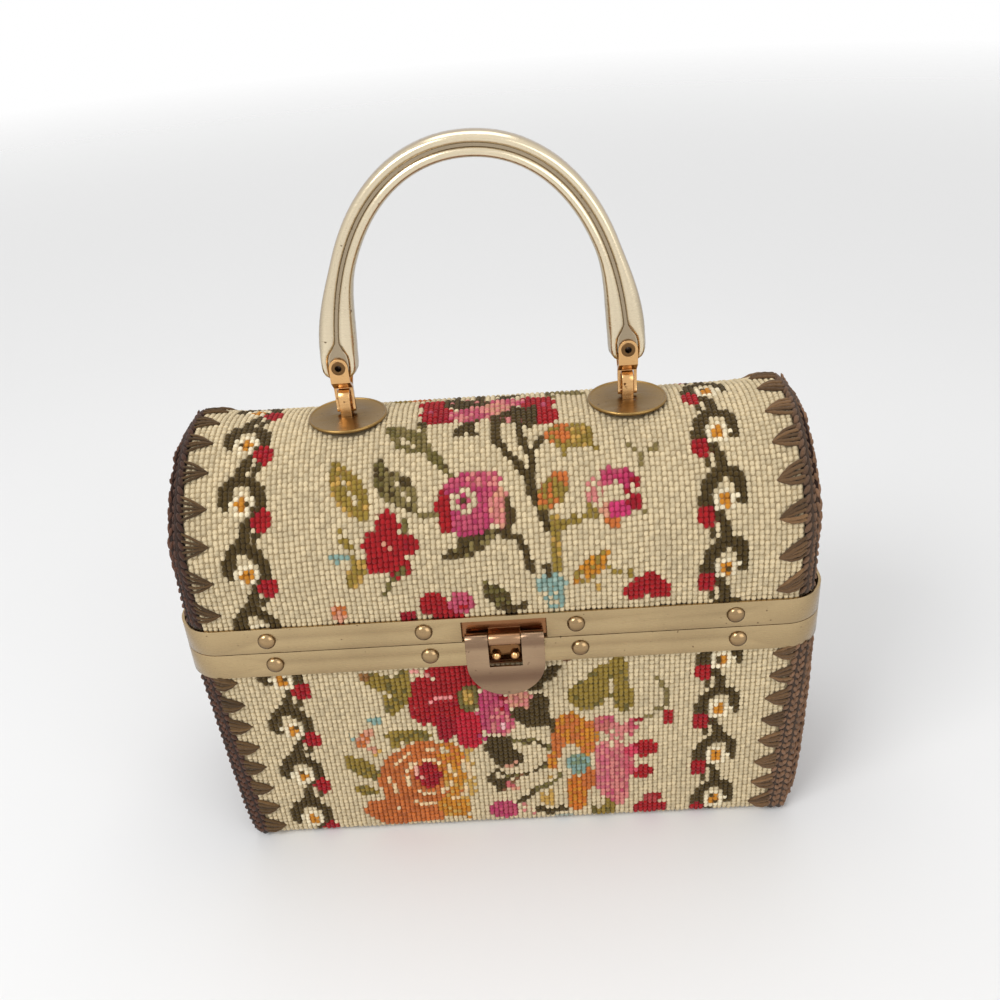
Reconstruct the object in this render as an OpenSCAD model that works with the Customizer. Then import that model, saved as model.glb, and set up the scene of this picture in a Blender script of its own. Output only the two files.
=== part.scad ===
// Barrel-lid tapestry handbag on a riveted brass frame.
// Millimetres, +X to the right, +Y to the back, +Z up, origin on the table under the middle.

/* [Frame bands] */
// Width of the two metal bands
frame_w = 240; // [224:1:280]
// Depth of the two metal bands, front to back
frame_d = 98; // [86:1:116]
// Corner radius of the bands in plan
frame_corner_r = 15; // [13:0.5:22]
// Height of the joint line between base and lid
joint_z = 100; // [85:1:120]
// Free gap between the two bands when shut
joint_gap = 0.3; // [0.2:0.05:0.6]
// Height of each band
band_h = 10.8; // [9.5:0.2:14]
// Sheet thickness of the bands
band_t = 1; // [0.8:0.1:1.2]
// Height of the hidden inner leg of each band
band_inner_h = 7.5; // [5:0.5:9]

/* [Layers of the wall] */
// Thickness of the wool tapestry and of the crochet
cloth_t = 2; // [1.6:0.1:2.4]
// Thickness of the board tray
board_t = 2; // [1.5:0.1:2.5]
// Thickness of the lining
lining_t = 0.8; // [0.6:0.1:1.2]
// Clearance between neighbouring layers
layer_gap = 0.15; // [0.1:0.05:0.3]
// Clearance between the board and the lining
lining_gap = 0.2; // [0.2:0.05:0.4]
// Spacing of the rows of stitches
row_pitch = 1.93; // [1.8:0.01:2.05]
// Depth of the groove between two rows
row_depth = 0.45; // [0.2:0.05:0.6]

/* [Base] */
// How much narrower the base is at the table than the bands
foot_w_less = 22; // [12:1:40]
// How much shallower the base is at the table than the bands
foot_d_less = 12; // [6:1:20]
// Radius of the long bottom edges
foot_r = 9; // [7:0.5:14]
// Radius of the short bottom edges
foot_end_r = 6.5; // [6:0.5:9]
// Width of the crochet strip beside the tapestry at the table
foot_strip_w = 7; // [6:0.5:16]

/* [Lid] */
// Height of the lid's straight wall above the joint line
lid_wall_h = 23.5; // [19:0.5:40]
// How much narrower the lid is at its top than the bands
lid_top_less = 8.8; // [4:0.2:10]
// Distance of the seams from the ends of the bands
seam_in = 10.6; // [10.5:0.1:20]

/* [Crochet] */
// Spacing of the crochet rounds on the ends
round_pitch = 5; // [3.5:0.25:7]
// How far a crochet round stands out
round_depth = 0.8; // [0.4:0.1:1]
// Radius of the chain-stitched edge
chain_r = 2; // [1.6:0.1:2]
// Length of one chain stitch
chain_pitch = 4.4; // [3.5:0.1:8]
// Spacing of the fan stitches on the lid
lid_fan_pitch = 13.2; // [11:0.1:20]
// Spacing of the fan stitches on the base
base_fan_pitch = 12; // [10:0.1:20]
// Reach of a fan stitch over the tapestry
fan_reach = 8.5; // [6:0.5:12]
// Width of a lid fan at its root
lid_fan_w = 10; // [6:0.5:11]
// Width of a base fan at its root
base_fan_w = 8.8; // [5:0.2:10]
// Height of a strand of a fan
fan_h = 1.1; // [0.8:0.1:1.5]

/* [Rivets] */
// Distance of the inner rivets from the middle
rivet_inner_x = 28; // [24:1:36]
// Distance of the outer rivets from the ends of the bands
rivet_outer_in = 33.8; // [25:0.2:45]
// Sideways offset of the lower row against the upper row
rivet_row_shift = 1.3; // [0:0.1:2]
// Radius of a rivet head
rivet_head_r = 3.3; // [2.5:0.1:4]
// Height of a rivet head
rivet_head_h = 2; // [1.5:0.1:2.5]
// Radius of a rivet shank
rivet_shank_r = 1.2; // [0.8:0.1:1.5]

/* [Back hinges] */
// Length of one knuckle
hinge_knuckle_l = 8; // [6:0.5:10]
// Outer radius of the knuckles
hinge_r = 2.2; // [1.8:0.1:2.6]
// Radius of the hinge pins
hinge_pin_r = 0.9; // [0.7:0.1:1.1]
// Thickness of the hinge leaves
hinge_leaf_t = 0.8; // [0.6:0.1:1]
// Height of a hinge leaf
hinge_leaf_h = 9; // [7:0.5:9]

/* [Clasp] */
// Sideways place of the clasp
clasp_x = 1.5; // [-4:0.5:4]
// Width of the clasp across its knuckles
clasp_w = 29; // [24:0.5:34]
// Length of the fixed middle knuckle
clasp_mid_l = 11.6; // [10.5:0.2:13]
// Outer radius of the clasp barrel
clasp_r = 2.5; // [2.2:0.1:2.6]
// Height of the clasp's pin above the joint line
clasp_rise = 2.5; // [2.4:0.1:3]
// Distance of the pin in front of the band
clasp_out = 2.2; // [2.1:0.1:3]
// Radius of the clasp's pin
clasp_pin_r = 0.8; // [0.6:0.1:1]
// Thickness of the flap
flap_t = 1; // [0.8:0.1:1.2]
// Height of the straight part of the flap below the pin
flap_straight_h = 10.3; // [10:0.1:13]
// Height of the window's sill below the pin
window_drop = 11.3; // [10.5:0.1:12]
// Width of the notch in the upper band
notch_w = 31.4; // [27:0.2:36.5]
// Height of the notch above the joint line
notch_h = 8.9; // [7:0.1:9.2]
// Width of the plate behind the notch
clasp_plate_w = 36; // [30:0.5:42]
// Thickness of the plate behind the notch
clasp_plate_t = 0.7; // [0.5:0.1:0.8]
// Radius of the two catch balls
ball_r = 1.75; // [1.4:0.05:1.8]
// Distance of each ball from the clasp's middle
ball_x = 3.4; // [2.8:0.1:4]
// Height of the balls below the pin
ball_drop = 8.1; // [7.5:0.1:8.6]

/* [Handle] */
// Distance of the handle's feet from the middle
handle_x = 52.4; // [42:0.2:64]
// Height of the handle's crown above the lid, at its centre line
handle_rise = 96.3; // [75:0.5:130]
// Height of the swing axis above the disc's top
swing_rise = 1.9; // [1.6:0.1:2.5]
// Height of the feet above the swing axis
foot_rise = 12.5; // [12:0.1:16]
// Half width of the handle at the crown
crown_half_w = 4.4; // [3.5:0.1:6]
// Half width of the handle at the feet
foot_half_w = 6.8; // [6.2:0.1:8]
// Half thickness of the handle at the crown
crown_half_t = 4.4; // [3.5:0.1:6]
// Half thickness of the handle at the feet
foot_half_t = 5; // [4.5:0.1:5.5]
// Depth of the groove along the handle
groove_depth = 1.1; // [0.8:0.1:1.3]

/* [Handle mounts] */
// Radius of the round plates on the lid
disc_r = 14.5; // [11:0.5:18]
// Sheet thickness of the round plates
disc_t = 0.8; // [0.6:0.1:1]
// Rise of the round plates to their middle
disc_dome = 0.8; // [0.4:0.1:1.2]
// Width of the band loop
loop_w = 4.2; // [3.4:0.1:5]
// Thickness of the band loop
loop_t = 1.1; // [0.8:0.1:1.3]
// Half of the loop's clear width
loop_half_in = 2.2; // [2:0.1:2.8]
// Clear height of the loop above the swing axis
loop_rise = 7; // [6:0.1:7.5]
// Width of the bracket strap
strap_w = 7; // [6.4:0.1:7.4]
// Thickness of the bracket strap
strap_t = 0.9; // [0.7:0.1:1]
// Radius of the bracket's cross bar
bar_r = 1.2; // [0.9:0.1:1.3]
// Height of the hollow rivet above the foot's end
eyelet_rise = 5.6; // [5:0.1:7]
// Outer radius of the hollow rivet's tube
eyelet_r = 1.6; // [1.2:0.1:1.8]
// Wall of the hollow rivet
eyelet_wall = 0.4; // [0.3:0.05:0.5]
// Radius of the washer inside the lid
washer_r = 8; // [6:0.5:10]

/* [Wool pattern] */
// Thickness of the coloured wool over the cream ground
wool_t = 0.4; // [0.2:0.05:0.6]
// Length of one turn of the border vines
vine_pitch = 25.4; // [25:0.1:34]
// Distance of the lid's border daisies from the left seam
lid_daisy_left_in = 20.4; // [18:0.2:34]
// Distance of the lid's border daisies from the right seam
lid_daisy_right_in = 27; // [18:0.2:34]
// Distance of the base's border daisies from the left seam
base_daisy_left_in = 25.4; // [22:0.2:34]
// Distance of the base's border daisies from the right seam
base_daisy_right_in = 27; // [22:0.2:34]
// Radius of the heart of a border daisy
daisy_heart_r = 1.6; // [1:0.1:2]
// Radius of a berry
berry_r = 2.8; // [1.5:0.1:2.8]

/* [Hidden] */

// Smoothness of true circles
$fn = 64;
// Extra length of a cutting tool past the face that it cuts
over = 1;
// Radial clearance of a pin in its bore
running_gap = 0.05;
// Clearance beside a moving piece
side_gap = 0.3;
// Clearance around a rivet shank or a strap in its hole
hole_gap = 0.1;

// Colours as the bag shows them
cream_wool = [0.86, 0.80, 0.67];
brown_yarn = [0.40, 0.30, 0.24];
gilt_band = [0.75, 0.65, 0.50];
gilt_bright = [0.85, 0.74, 0.52];
old_brass = [0.62, 0.50, 0.28];
board_grey = [0.62, 0.56, 0.46];
lining_tan = [0.78, 0.70, 0.56];
wool_red = [0.66, 0.08, 0.14];
wool_pink = [0.78, 0.36, 0.52];
wool_gold = [0.76, 0.50, 0.18];
wool_olive = [0.48, 0.44, 0.20];
wool_vine = [0.27, 0.21, 0.10];
wool_blue = [0.50, 0.64, 0.64];

// Cloth surface at the frame, in plan
cloth_inset = band_t + layer_gap;
half_w = frame_w / 2 - cloth_inset;
half_d = frame_d / 2 - cloth_inset;
plan_r = frame_corner_r - cloth_inset;

// Depths of the layers below the cloth surface
board_in = cloth_t + layer_gap;
lining_in = board_in + board_t + lining_gap;
inside_in = lining_in + lining_t;
channel_w = cloth_inset + inside_in + layer_gap + band_t;

// Levels along the height
base_rim_z = joint_z - joint_gap / 2;
lid_rim_z = joint_z + joint_gap / 2;
base_top_z = base_rim_z - band_t - layer_gap;
lid_low_z = lid_rim_z + band_t + layer_gap;
base_tuck_z = base_rim_z - band_h - layer_gap;
lid_tuck_z = lid_rim_z + band_h + layer_gap;
barrel_z = joint_z + lid_wall_h;
lid_top_z = barrel_z + half_d;

// Sizes of the base at the table and of the lid at its top
foot_w = frame_w - foot_w_less;
foot_d = frame_d - foot_d_less;
lid_top_w = frame_w - lid_top_less;

// Seams between tapestry and crochet
chain_w = 2 * chain_r + layer_gap;
seam_x = frame_w / 2 - seam_in;
foot_seam_x = foot_w / 2 - foot_strip_w;

// Places across the bag that keep to its ends
rivet_outer_x = frame_w / 2 - rivet_outer_in;
// Each hinge sits half way between two rivets
hinge_x = (rivet_inner_x + rivet_outer_x) / 2;
lid_daisy_left_x = seam_x - lid_daisy_left_in;
lid_daisy_right_x = seam_x - lid_daisy_right_in;
base_daisy_left_x = seam_x - base_daisy_left_in;
base_daisy_right_x = seam_x - base_daisy_right_in;

// Hinge and clasp axes
hinge_y = frame_d / 2 + hinge_r + side_gap + hole_gap;
clasp_y = -frame_d / 2 - clasp_out;
clasp_z = joint_z + clasp_rise;

// Handle levels
disc_z = lid_top_z + layer_gap;
swing_z = disc_z + disc_dome + disc_t + swing_rise;
handle_foot_z = swing_z + foot_rise;
crown_z = lid_top_z + handle_rise;
eyelet_z = handle_foot_z + eyelet_rise;
loop_in_z = swing_z + loop_rise;

// Outline helpers

function unit(v) = v / norm(v);
// The two points where a fillet meets the sides of a convex corner
function fillet_ends(before, corner, after, r) =
    let(a = unit(before - corner), b = unit(after - corner), half = acos(a * b) / 2, d = r / tan(half))
    r > 0 ? [corner + a * d, corner + b * d] : [corner];
function fillet_centre(before, corner, after, r) =
    let(a = unit(before - corner), b = unit(after - corner), half = acos(a * b) / 2)
    corner + unit(a + b) * r / sin(half);

// A convex outline with a radius at each corner, 0 for a sharp one
module rounded(points, radii) {
    n = len(points);
    polygon([for (k = [0 : n - 1])
        each fillet_ends(points[(k + n - 1) % n], points[k], points[(k + 1) % n], radii[k])]);
    for (k = [0 : n - 1])
        if (radii[k] > 0)
            translate(fillet_centre(points[(k + n - 1) % n], points[k], points[(k + 1) % n], radii[k]))
                circle(radii[k]);
}

// Extrudes a drawing of Y and Z along X
module along_x(length) {
    rotate([90, 0, 90]) linear_extrude(length, center = true) children();
}

// Extrudes a drawing of X and Z along Y
module along_y(length) {
    rotate([90, 0, 0]) linear_extrude(length, center = true) children();
}

// Plan of the frame, drawn in from the outside of the bands
module frame_plan(inset) {
    r = frame_corner_r - inset;
    w = frame_w / 2 - inset;
    d = frame_d / 2 - inset;
    square([2 * (w - r), 2 * d], center = true);
    square([2 * w, 2 * (d - r)], center = true);
    for (sx = [-1, 1], sy = [-1, 1]) translate([sx * (w - r), sy * (d - r)]) circle(r);
}

// All of the plan that lies outside the cloth
module outside_cloth() {
    difference() {
        square([2 * frame_w, 2 * frame_d], center = true);
        frame_plan(cloth_inset);
    }
}

// A closed skin over rings of points, each ring with the same count
module skin(rings) {
    n = len(rings[0]);
    m = len(rings);
    polyhedron(
        points = [for (ring = rings) each ring],
        faces = concat(
            [[for (k = [0 : n - 1]) k]],
            [for (j = [0 : m - 2], k = [0 : n - 1])
                [j * n + k, (j + 1) * n + k, (j + 1) * n + (k + 1) % n, j * n + (k + 1) % n]],
            [[for (k = [n - 1 : -1 : 0]) (m - 1) * n + k]]));
}

// Base

base_fall = base_tuck_z;
function base_wall_y(z) = half_d - (half_d - foot_d / 2) * max(0, base_tuck_z - z) / base_fall;
function base_seam_x(z) = seam_x - (seam_x - foot_seam_x) * max(0, base_tuck_z - z) / base_fall;
function base_end_x(z) = half_w - (half_w - foot_w / 2) * max(0, base_tuck_z - z) / base_fall;
// Depth of the rounded corner at a given x, as the frame's plan has it
function plan_y(x) =
    let(dx = max(0, abs(x) - (half_w - plan_r))) half_d - plan_r + sqrt(plan_r * plan_r - dx * dx);

// Section of the base across its length, in from the cloth surface
module base_section(inset, top) {
    y = half_d - inset;
    foot_y = foot_d / 2 - inset;
    r = foot_r - inset;
    rounded([[y, top], [-y, top], [-y, base_tuck_z], [-foot_y, inset], [foot_y, inset], [y, base_tuck_z]],
        [0, 0, 0, r, r, 0]);
}

// Outline of the base from the front, in from the crochet surface
module base_outline(inset, top) {
    x = half_w - inset;
    foot_x = foot_w / 2 - inset;
    r = foot_end_r - inset;
    rounded([[x, top], [-x, top], [-x, base_tuck_z], [-foot_x, inset], [foot_x, inset], [x, base_tuck_z]],
        [0, 0, 0, r, r, 0]);
}

module base_solid(inset, top) {
    intersection() {
        along_x(frame_w) base_section(inset, top);
        along_y(frame_d) base_outline(inset, top);
        linear_extrude(top) frame_plan(cloth_inset + inset);
    }
}

// Region between the two seams, widened by a margin on each side
module base_between_seams(margin) {
    along_y(frame_d) polygon([
        [-seam_x - margin, joint_z], [-seam_x - margin, base_tuck_z], [-foot_seam_x - margin, -over],
        [foot_seam_x + margin, -over], [seam_x + margin, base_tuck_z], [seam_x + margin, joint_z]]);
}

// Where along a row its crest ends and its groove lies
crest_end = 0.7;
groove_at = 0.85;
// Rows of stitches along one slanting wall: crest, crest, groove
base_rows = floor((base_tuck_z - foot_r) / row_pitch);
function base_row_points(side) = [
    for (k = [0 : base_rows - 1], step = [0, crest_end, groove_at])
        let(z = base_tuck_z - (k + step) * row_pitch)
        [side * (base_wall_y(z) - (step == groove_at ? row_depth : 0)), z]];
function reversed(list) = [for (k = [len(list) - 1 : -1 : 0]) list[k]];

// Grooves between the rows, cut out of the base's section
module base_grooves() {
    along_x(frame_w)
        for (side = [-1, 1]) {
            rows = base_row_points(side);
            polygon(concat(rows, [[side * frame_d, rows[len(rows) - 1][1]], [side * frame_d, rows[0][1]]]));
        }
}

module base_shell() {
    color(board_grey) difference() {
        base_solid(board_in, base_top_z);
        base_solid(board_in + board_t, base_top_z + over);
        rivet_holes(base_rivet_z, rivet_row_shift);
    }
}

module base_lining() {
    color(lining_tan) difference() {
        base_solid(lining_in, base_top_z);
        base_solid(inside_in, base_top_z + over);
    }
}

module base_tapestry() {
    color(cream_wool) difference() {
        intersection() {
            base_solid(0, base_top_z);
            base_between_seams(0);
        }
        base_solid(cloth_t, base_top_z + over);
        base_grooves();
        rivet_holes(base_rivet_z, rivet_row_shift);
    }
}

// How far a round swells past the frame's plan, and the radius and sinking of its bulge
round_swell = round_depth * 0.8;
round_bulge_r = 3 * round_depth;
round_sink = 2 * round_depth;
// Outer faces of the crochet ends with their rounds
base_rounds = floor((base_tuck_z - foot_end_r) / round_pitch);
module base_round_outline() {
    base_outline(0, base_top_z);
    for (side = [-1, 1], k = [0 : base_rounds - 1]) {
        z = base_tuck_z - (k + 0.5) * round_pitch;
        translate([side * (base_end_x(z) - round_sink), z]) circle(round_bulge_r);
    }
}

// The crochet end beyond the rims, on the right
module base_end_right() {
    color(brown_yarn) difference() {
        intersection() {
            along_x(frame_w) base_section(0, base_top_z);
            along_y(frame_d) base_round_outline();
            linear_extrude(joint_z) frame_plan(cloth_inset - round_swell);
            translate([foot_seam_x, -frame_d, 0]) cube([frame_w, 2 * frame_d, joint_z]);
        }
        base_solid(cloth_t, base_top_z + over);
        base_between_seams(chain_w + layer_gap);
        translate([0, 0, base_tuck_z]) linear_extrude(2 * band_h) outside_cloth();
    }
}

module base_frame() {
    color(gilt_band) difference() {
        union() {
            translate([0, 0, base_rim_z - band_h]) linear_extrude(band_h) frame_wall(0, band_t);
            translate([0, 0, base_rim_z - band_t]) linear_extrude(band_t) frame_wall(0, channel_w);
            translate([0, 0, base_rim_z - band_inner_h])
                linear_extrude(band_inner_h) frame_wall(channel_w - band_t, channel_w);
        }
        rivet_holes(base_rivet_z, rivet_row_shift);
    }
}

module frame_wall(outer, inner) {
    difference() {
        frame_plan(outer);
        frame_plan(inner);
    }
}

// Rivets

base_rivet_z = base_rim_z - band_h / 2;
lid_rivet_z = lid_rim_z + band_h / 2;
rivet_l = band_t + layer_gap + cloth_t + layer_gap + board_t / 2;
rivet_xs = [-rivet_outer_x, -rivet_inner_x, rivet_inner_x, rivet_outer_x];
// Ball radius that gives the dome its height over its radius
rivet_dome_r = (rivet_head_r * rivet_head_r + rivet_head_h * rivet_head_h) / (2 * rivet_head_h);

// Places its children on the front and back of a band, with +Z out of the band
module at_rivets(z, shift) {
    for (x = rivet_xs, side = [-1, 1])
        translate([x + shift, side * frame_d / 2, z]) rotate([side > 0 ? -90 : 90, 0, 0]) children();
}

module rivet_holes(z, shift) {
    at_rivets(z, shift) translate([0, 0, -rivet_l - layer_gap])
        cylinder(h = rivet_l + layer_gap + over, r = rivet_shank_r + hole_gap);
}

module rivets(z, shift) {
    at_rivets(z, shift) {
        intersection() {
            translate([0, 0, rivet_head_h - rivet_dome_r]) sphere(rivet_dome_r);
            cylinder(h = rivet_head_h + over, r = rivet_head_r);
        }
        translate([0, 0, -rivet_l]) cylinder(h = rivet_l + rivet_head_h / 2, r = rivet_shank_r);
    }
}

module base_rivets() {
    color(old_brass) rivets(base_rivet_z, rivet_row_shift);
}

module lid_rivets() {
    color(old_brass) rivets(lid_rivet_z, 0);
}

// Lid

lid_turn = PI * half_d;
lid_run = 2 * lid_wall_h + lid_turn;
// Point on the lid's section at a run from the front joint line, over the barrel, to the back one
function lid_point(run, rise) =
    run < lid_wall_h ? [-(half_d + rise), joint_z + run] :
    run > lid_wall_h + lid_turn ? [half_d + rise, joint_z + lid_run - run] :
    let(a = (run - lid_wall_h) / lid_turn * 180)
    [-(half_d + rise) * cos(a), barrel_z + (half_d + rise) * sin(a)];

module lid_section(inset, low) {
    translate([0, barrel_z]) circle(half_d - inset, $fn = 128);
    translate([-(half_d - inset), low]) square([2 * (half_d - inset), barrel_z - low]);
}

module lid_outline(inset, low) {
    top_x = lid_top_w / 2 - inset;
    x = half_w - inset;
    polygon([[-x, low], [x, low], [x, lid_tuck_z], [top_x, lid_top_z], [-top_x, lid_top_z], [-x, lid_tuck_z]]);
}

function lid_end_x(z) =
    half_w - (half_w - lid_top_w / 2) * max(0, z - lid_tuck_z) / (lid_top_z - lid_tuck_z);

module lid_solid(inset, low) {
    intersection() {
        along_x(frame_w) lid_section(inset, low);
        along_y(frame_d) lid_outline(inset, low);
        translate([0, 0, joint_z - band_h]) linear_extrude(lid_top_z) frame_plan(cloth_inset + inset);
    }
}

// Section of the lid with a groove between each two rows of stitches
lid_rows = floor((lid_run - 2 * (lid_tuck_z - joint_z)) / row_pitch);
module lid_rows_section() {
    start = (lid_run - lid_rows * row_pitch) / 2;
    polygon(concat(
        [lid_point(lid_low_z - joint_z, 0)],
        [for (k = [0 : lid_rows - 1], step = [0, crest_end, groove_at])
            lid_point(start + (k + step) * row_pitch, step == groove_at ? -row_depth : 0)],
        [lid_point(lid_run - (lid_low_z - joint_z), 0)]));
}

module lid_shell() {
    color(board_grey) difference() {
        lid_solid(board_in, lid_low_z);
        lid_solid(board_in + board_t, lid_low_z - over);
        rivet_holes(lid_rivet_z, 0);
        loop_holes();
    }
}

module lid_lining() {
    color(lining_tan) difference() {
        lid_solid(lining_in, lid_low_z);
        lid_solid(inside_in, lid_low_z - over);
        loop_holes();
    }
}

module lid_tapestry() {
    color(cream_wool) difference() {
        intersection() {
            along_x(2 * seam_x) lid_rows_section();
            translate([0, 0, joint_z]) linear_extrude(lid_top_z) frame_plan(cloth_inset);
        }
        lid_solid(cloth_t, lid_low_z - over);
        rivet_holes(lid_rivet_z, 0);
        loop_holes();
        clasp_pocket();
    }
}

lid_rounds = floor((lid_top_z - lid_tuck_z) / round_pitch) - 1;
module lid_round_outline() {
    lid_outline(0, lid_low_z);
    for (side = [-1, 1], k = [0 : lid_rounds - 1]) {
        z = lid_tuck_z + (k + 0.5) * round_pitch;
        translate([side * (lid_end_x(z) - round_sink), z]) circle(round_bulge_r);
    }
}

// The crochet end beyond the rim, on the right
module lid_end_right() {
    color(brown_yarn) difference() {
        intersection() {
            along_x(frame_w) lid_section(0, lid_low_z);
            along_y(frame_d) lid_round_outline();
            translate([0, 0, joint_z]) linear_extrude(lid_top_z) frame_plan(cloth_inset - round_swell);
            translate([seam_x + chain_w + layer_gap, -frame_d, 0]) cube([frame_w, 2 * frame_d, 2 * lid_top_z]);
        }
        lid_solid(cloth_t, lid_low_z - over);
        translate([0, 0, lid_tuck_z - 2 * band_h]) linear_extrude(2 * band_h) outside_cloth();
    }
}

module lid_frame() {
    color(gilt_band) difference() {
        union() {
            translate([0, 0, lid_rim_z]) linear_extrude(band_h) frame_wall(0, band_t);
            translate([0, 0, lid_rim_z]) linear_extrude(band_t) frame_wall(0, channel_w);
            translate([0, 0, lid_rim_z])
                linear_extrude(band_inner_h) frame_wall(channel_w - band_t, channel_w);
        }
        rivet_holes(lid_rivet_z, 0);
        clasp_notch();
    }
}

// Crochet edges: a chain-stitched rim and fans of long stitches

// Ring of a strand around a point, in the plane of the X axis and a normal
function strand_ring(p, normal, r, sides) = [
    for (k = [0 : sides - 1]) let(a = k * 360 / sides) p + [r * cos(a), 0, 0] + normal * (r * sin(a))];

// Sides of a strand, its waist between two stitches as a share, and its clearance over the cloth
chain_sides = 6;
chain_waist = 0.72;
chain_out = 0.1;
// Free end of a chain before the band
chain_end = chain_r * 0.2;
lid_chain_x = seam_x + layer_gap + chain_r;

// Place of the right edge on the lid at a run over it, held to the rounded corner
function lid_edge(x, run, rise) =
    let(p = lid_point(run, rise), y = plan_y(x) + rise) [x, min(y, max(-y, p[0])), p[1]];

module lid_chain() {
    low = lid_tuck_z - joint_z + chain_end;
    beads = round((lid_run - 2 * low) / chain_pitch);
    step = (lid_run - 2 * low) / beads / 2;
    skin([for (k = [0 : 2 * beads])
        let(run = low + k * step,
            p = lid_edge(lid_chain_x, run, chain_out),
            t = unit(lid_edge(lid_chain_x, run + 0.5, chain_out) - p))
        strand_ring(p, [0, t[2], -t[1]], chain_r * (k % 2 == 0 ? chain_waist : 1), chain_sides)]);
}

// Strands of a fan, the seat of its outer strands and its clearance over the tapestry
strands = 4;
fan_seat = 0.3;
fan_base = 0.15;
// Height of the fan's root outline, strand by strand
function fan_height(k) = k == 0 || k == 2 * strands ? fan_base + fan_seat : k % 2 == 1 ? fan_h : fan_h * 0.55;

// One fan: a point on the tapestry and a ridged root at the seam
module fan(tip, top, bottom) {
    n = len(top) + len(bottom);
    polyhedron(
        points = concat(top, reversed(bottom), [tip]),
        faces = concat([[for (k = [0 : n - 1]) k]], [for (k = [0 : n - 1]) [(k + 1) % n, k, n]]));
}

// Lift of a fan where the wall behind it starts to turn into the rounded corner
lift_share = 0.7;
function corner_lift(wall_y, root_x) = max(0, wall_y - plan_y(root_x)) * lift_share;
// Place along a fan's root, from -0.5 to 0.5 of its width
function root_share(k) = k / (2 * strands) - 0.5;

module lid_fan(run) {
    root_x = seam_x - layer_gap;
    ends = [for (side = [-1, 1]) abs(lid_point(run + side * lid_fan_w / 2, 0)[0])];
    lift = corner_lift(max(ends), root_x);
    fan(lid_edge(seam_x - fan_reach, run, fan_base + fan_seat + lift),
        [for (k = [0 : 2 * strands])
            lid_edge(root_x, run + root_share(k) * lid_fan_w, fan_seat + fan_height(k) + lift)],
        [for (k = [0 : 2 : 2 * strands])
            lid_edge(root_x, run + root_share(k) * lid_fan_w, fan_base + lift)]);
}

module lid_edge_right() {
    span = lid_run - 2 * (lid_tuck_z - joint_z);
    fans = floor((span - lid_fan_w) / lid_fan_pitch);
    first = lid_run / 2 - fans * lid_fan_pitch / 2;
    color(brown_yarn) {
        lid_chain();
        for (k = [0 : fans]) lid_fan(first + k * lid_fan_pitch);
    }
}

// Place of the right edge on the front of the base at a height
function base_edge(x, z, rise) = [x, -min(base_wall_y(z), plan_y(x)) - rise, z];

base_edge_high = base_tuck_z - chain_end;
// The chain ends where the wall turns under the base
base_edge_low = foot_r * 0.6;

module base_chain() {
    beads = round((base_edge_high - base_edge_low) / chain_pitch);
    step = (base_edge_high - base_edge_low) / beads / 2;
    skin([for (k = [0 : 2 * beads])
        let(z = base_edge_low + k * step, x = base_seam_x(z) + layer_gap + chain_r)
        strand_ring(base_edge(x, z, chain_out), [0, 1, 0],
            chain_r * (k % 2 == 0 ? chain_waist : 1), chain_sides)]);
}

module base_fan(z) {
    lift = corner_lift(base_wall_y(z + base_fan_w / 2), base_seam_x(z) - layer_gap);
    fan(base_edge(base_seam_x(z) - fan_reach, z, fan_base + fan_seat + lift),
        [for (k = [0 : 2 * strands])
            let(zk = z + root_share(k) * base_fan_w)
            base_edge(base_seam_x(zk) - layer_gap, zk, fan_seat + fan_height(k) + lift)],
        [for (k = [0, 2 * strands])
            let(zk = z + root_share(k) * base_fan_w)
            base_edge(base_seam_x(zk) - layer_gap, zk, fan_base + lift)]);
}

module base_edge_right() {
    fans = floor((base_edge_high - base_edge_low - base_fan_w) / base_fan_pitch);
    first = (base_edge_high + base_edge_low - fans * base_fan_pitch) / 2;
    color(brown_yarn) for (face = [0, 1]) mirror([0, face, 0]) {
        base_chain();
        for (k = [0 : fans]) base_fan(first + k * base_fan_pitch);
    }
}

module base_edge_left() { mirror([1, 0, 0]) base_edge_right(); }
module lid_edge_left() { mirror([1, 0, 0]) lid_edge_right(); }
module base_end_left() { mirror([1, 0, 0]) base_end_right(); }
module lid_end_left() { mirror([1, 0, 0]) lid_end_right(); }

// Coloured wool

wool_lift = layer_gap;
wool_clear = 0.3;
// Length of the cutting prisms of the motifs, in and out of the tapestry's surface
motif_in = 4;
motif_out = 2;

// Thin layer over the front and back of the base, down to its lower edge
wool_low = 2;
module base_wool_layer() {
    low = wool_low;
    intersection() {
        difference() {
            along_x(2 * foot_seam_x) base_section(-wool_lift - wool_t, base_tuck_z);
            along_x(frame_w) base_section(-wool_lift, joint_z);
        }
        translate([-frame_w, -frame_d, low]) cube([2 * frame_w, 2 * frame_d, base_tuck_z - wool_clear - low]);
    }
}

// Thin layer over the lid between the front band and the back band
module lid_wool_layer() {
    difference() {
        along_x(2 * foot_seam_x) lid_section(-wool_lift - wool_t, lid_tuck_z + wool_clear);
        along_x(frame_w) lid_section(-wool_lift, lid_low_z);
    }
}

// Stands a motif on the front of the base, and again on its back turned half round
module on_base_at(x, z) {
    for (turn = [0, 180]) rotate(turn) translate([x, -base_wall_y(z), z]) rotate([90, 0, 0])
        translate([0, 0, -motif_in]) linear_extrude(motif_in + motif_out) children();
}

// Stands a motif on the lid at one run, square to the surface
module on_lid_once(x, run) {
    p = lid_point(run, 0);
    a = min(180, max(0, (run - lid_wall_h) / lid_turn * 180));
    translate([x, p[0], p[1]]) rotate([90 - a, 0, 0])
        translate([0, 0, -motif_in]) linear_extrude(motif_in + motif_out) children();
}

// The bouquets are counted as embroidery is: these modules take places and lengths in stitches,
// across from the middle of the bag and up from the table or from the front joint line
module on_base(across, up) {
    on_base_at(across * row_pitch, up * row_pitch) children();
}

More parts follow.
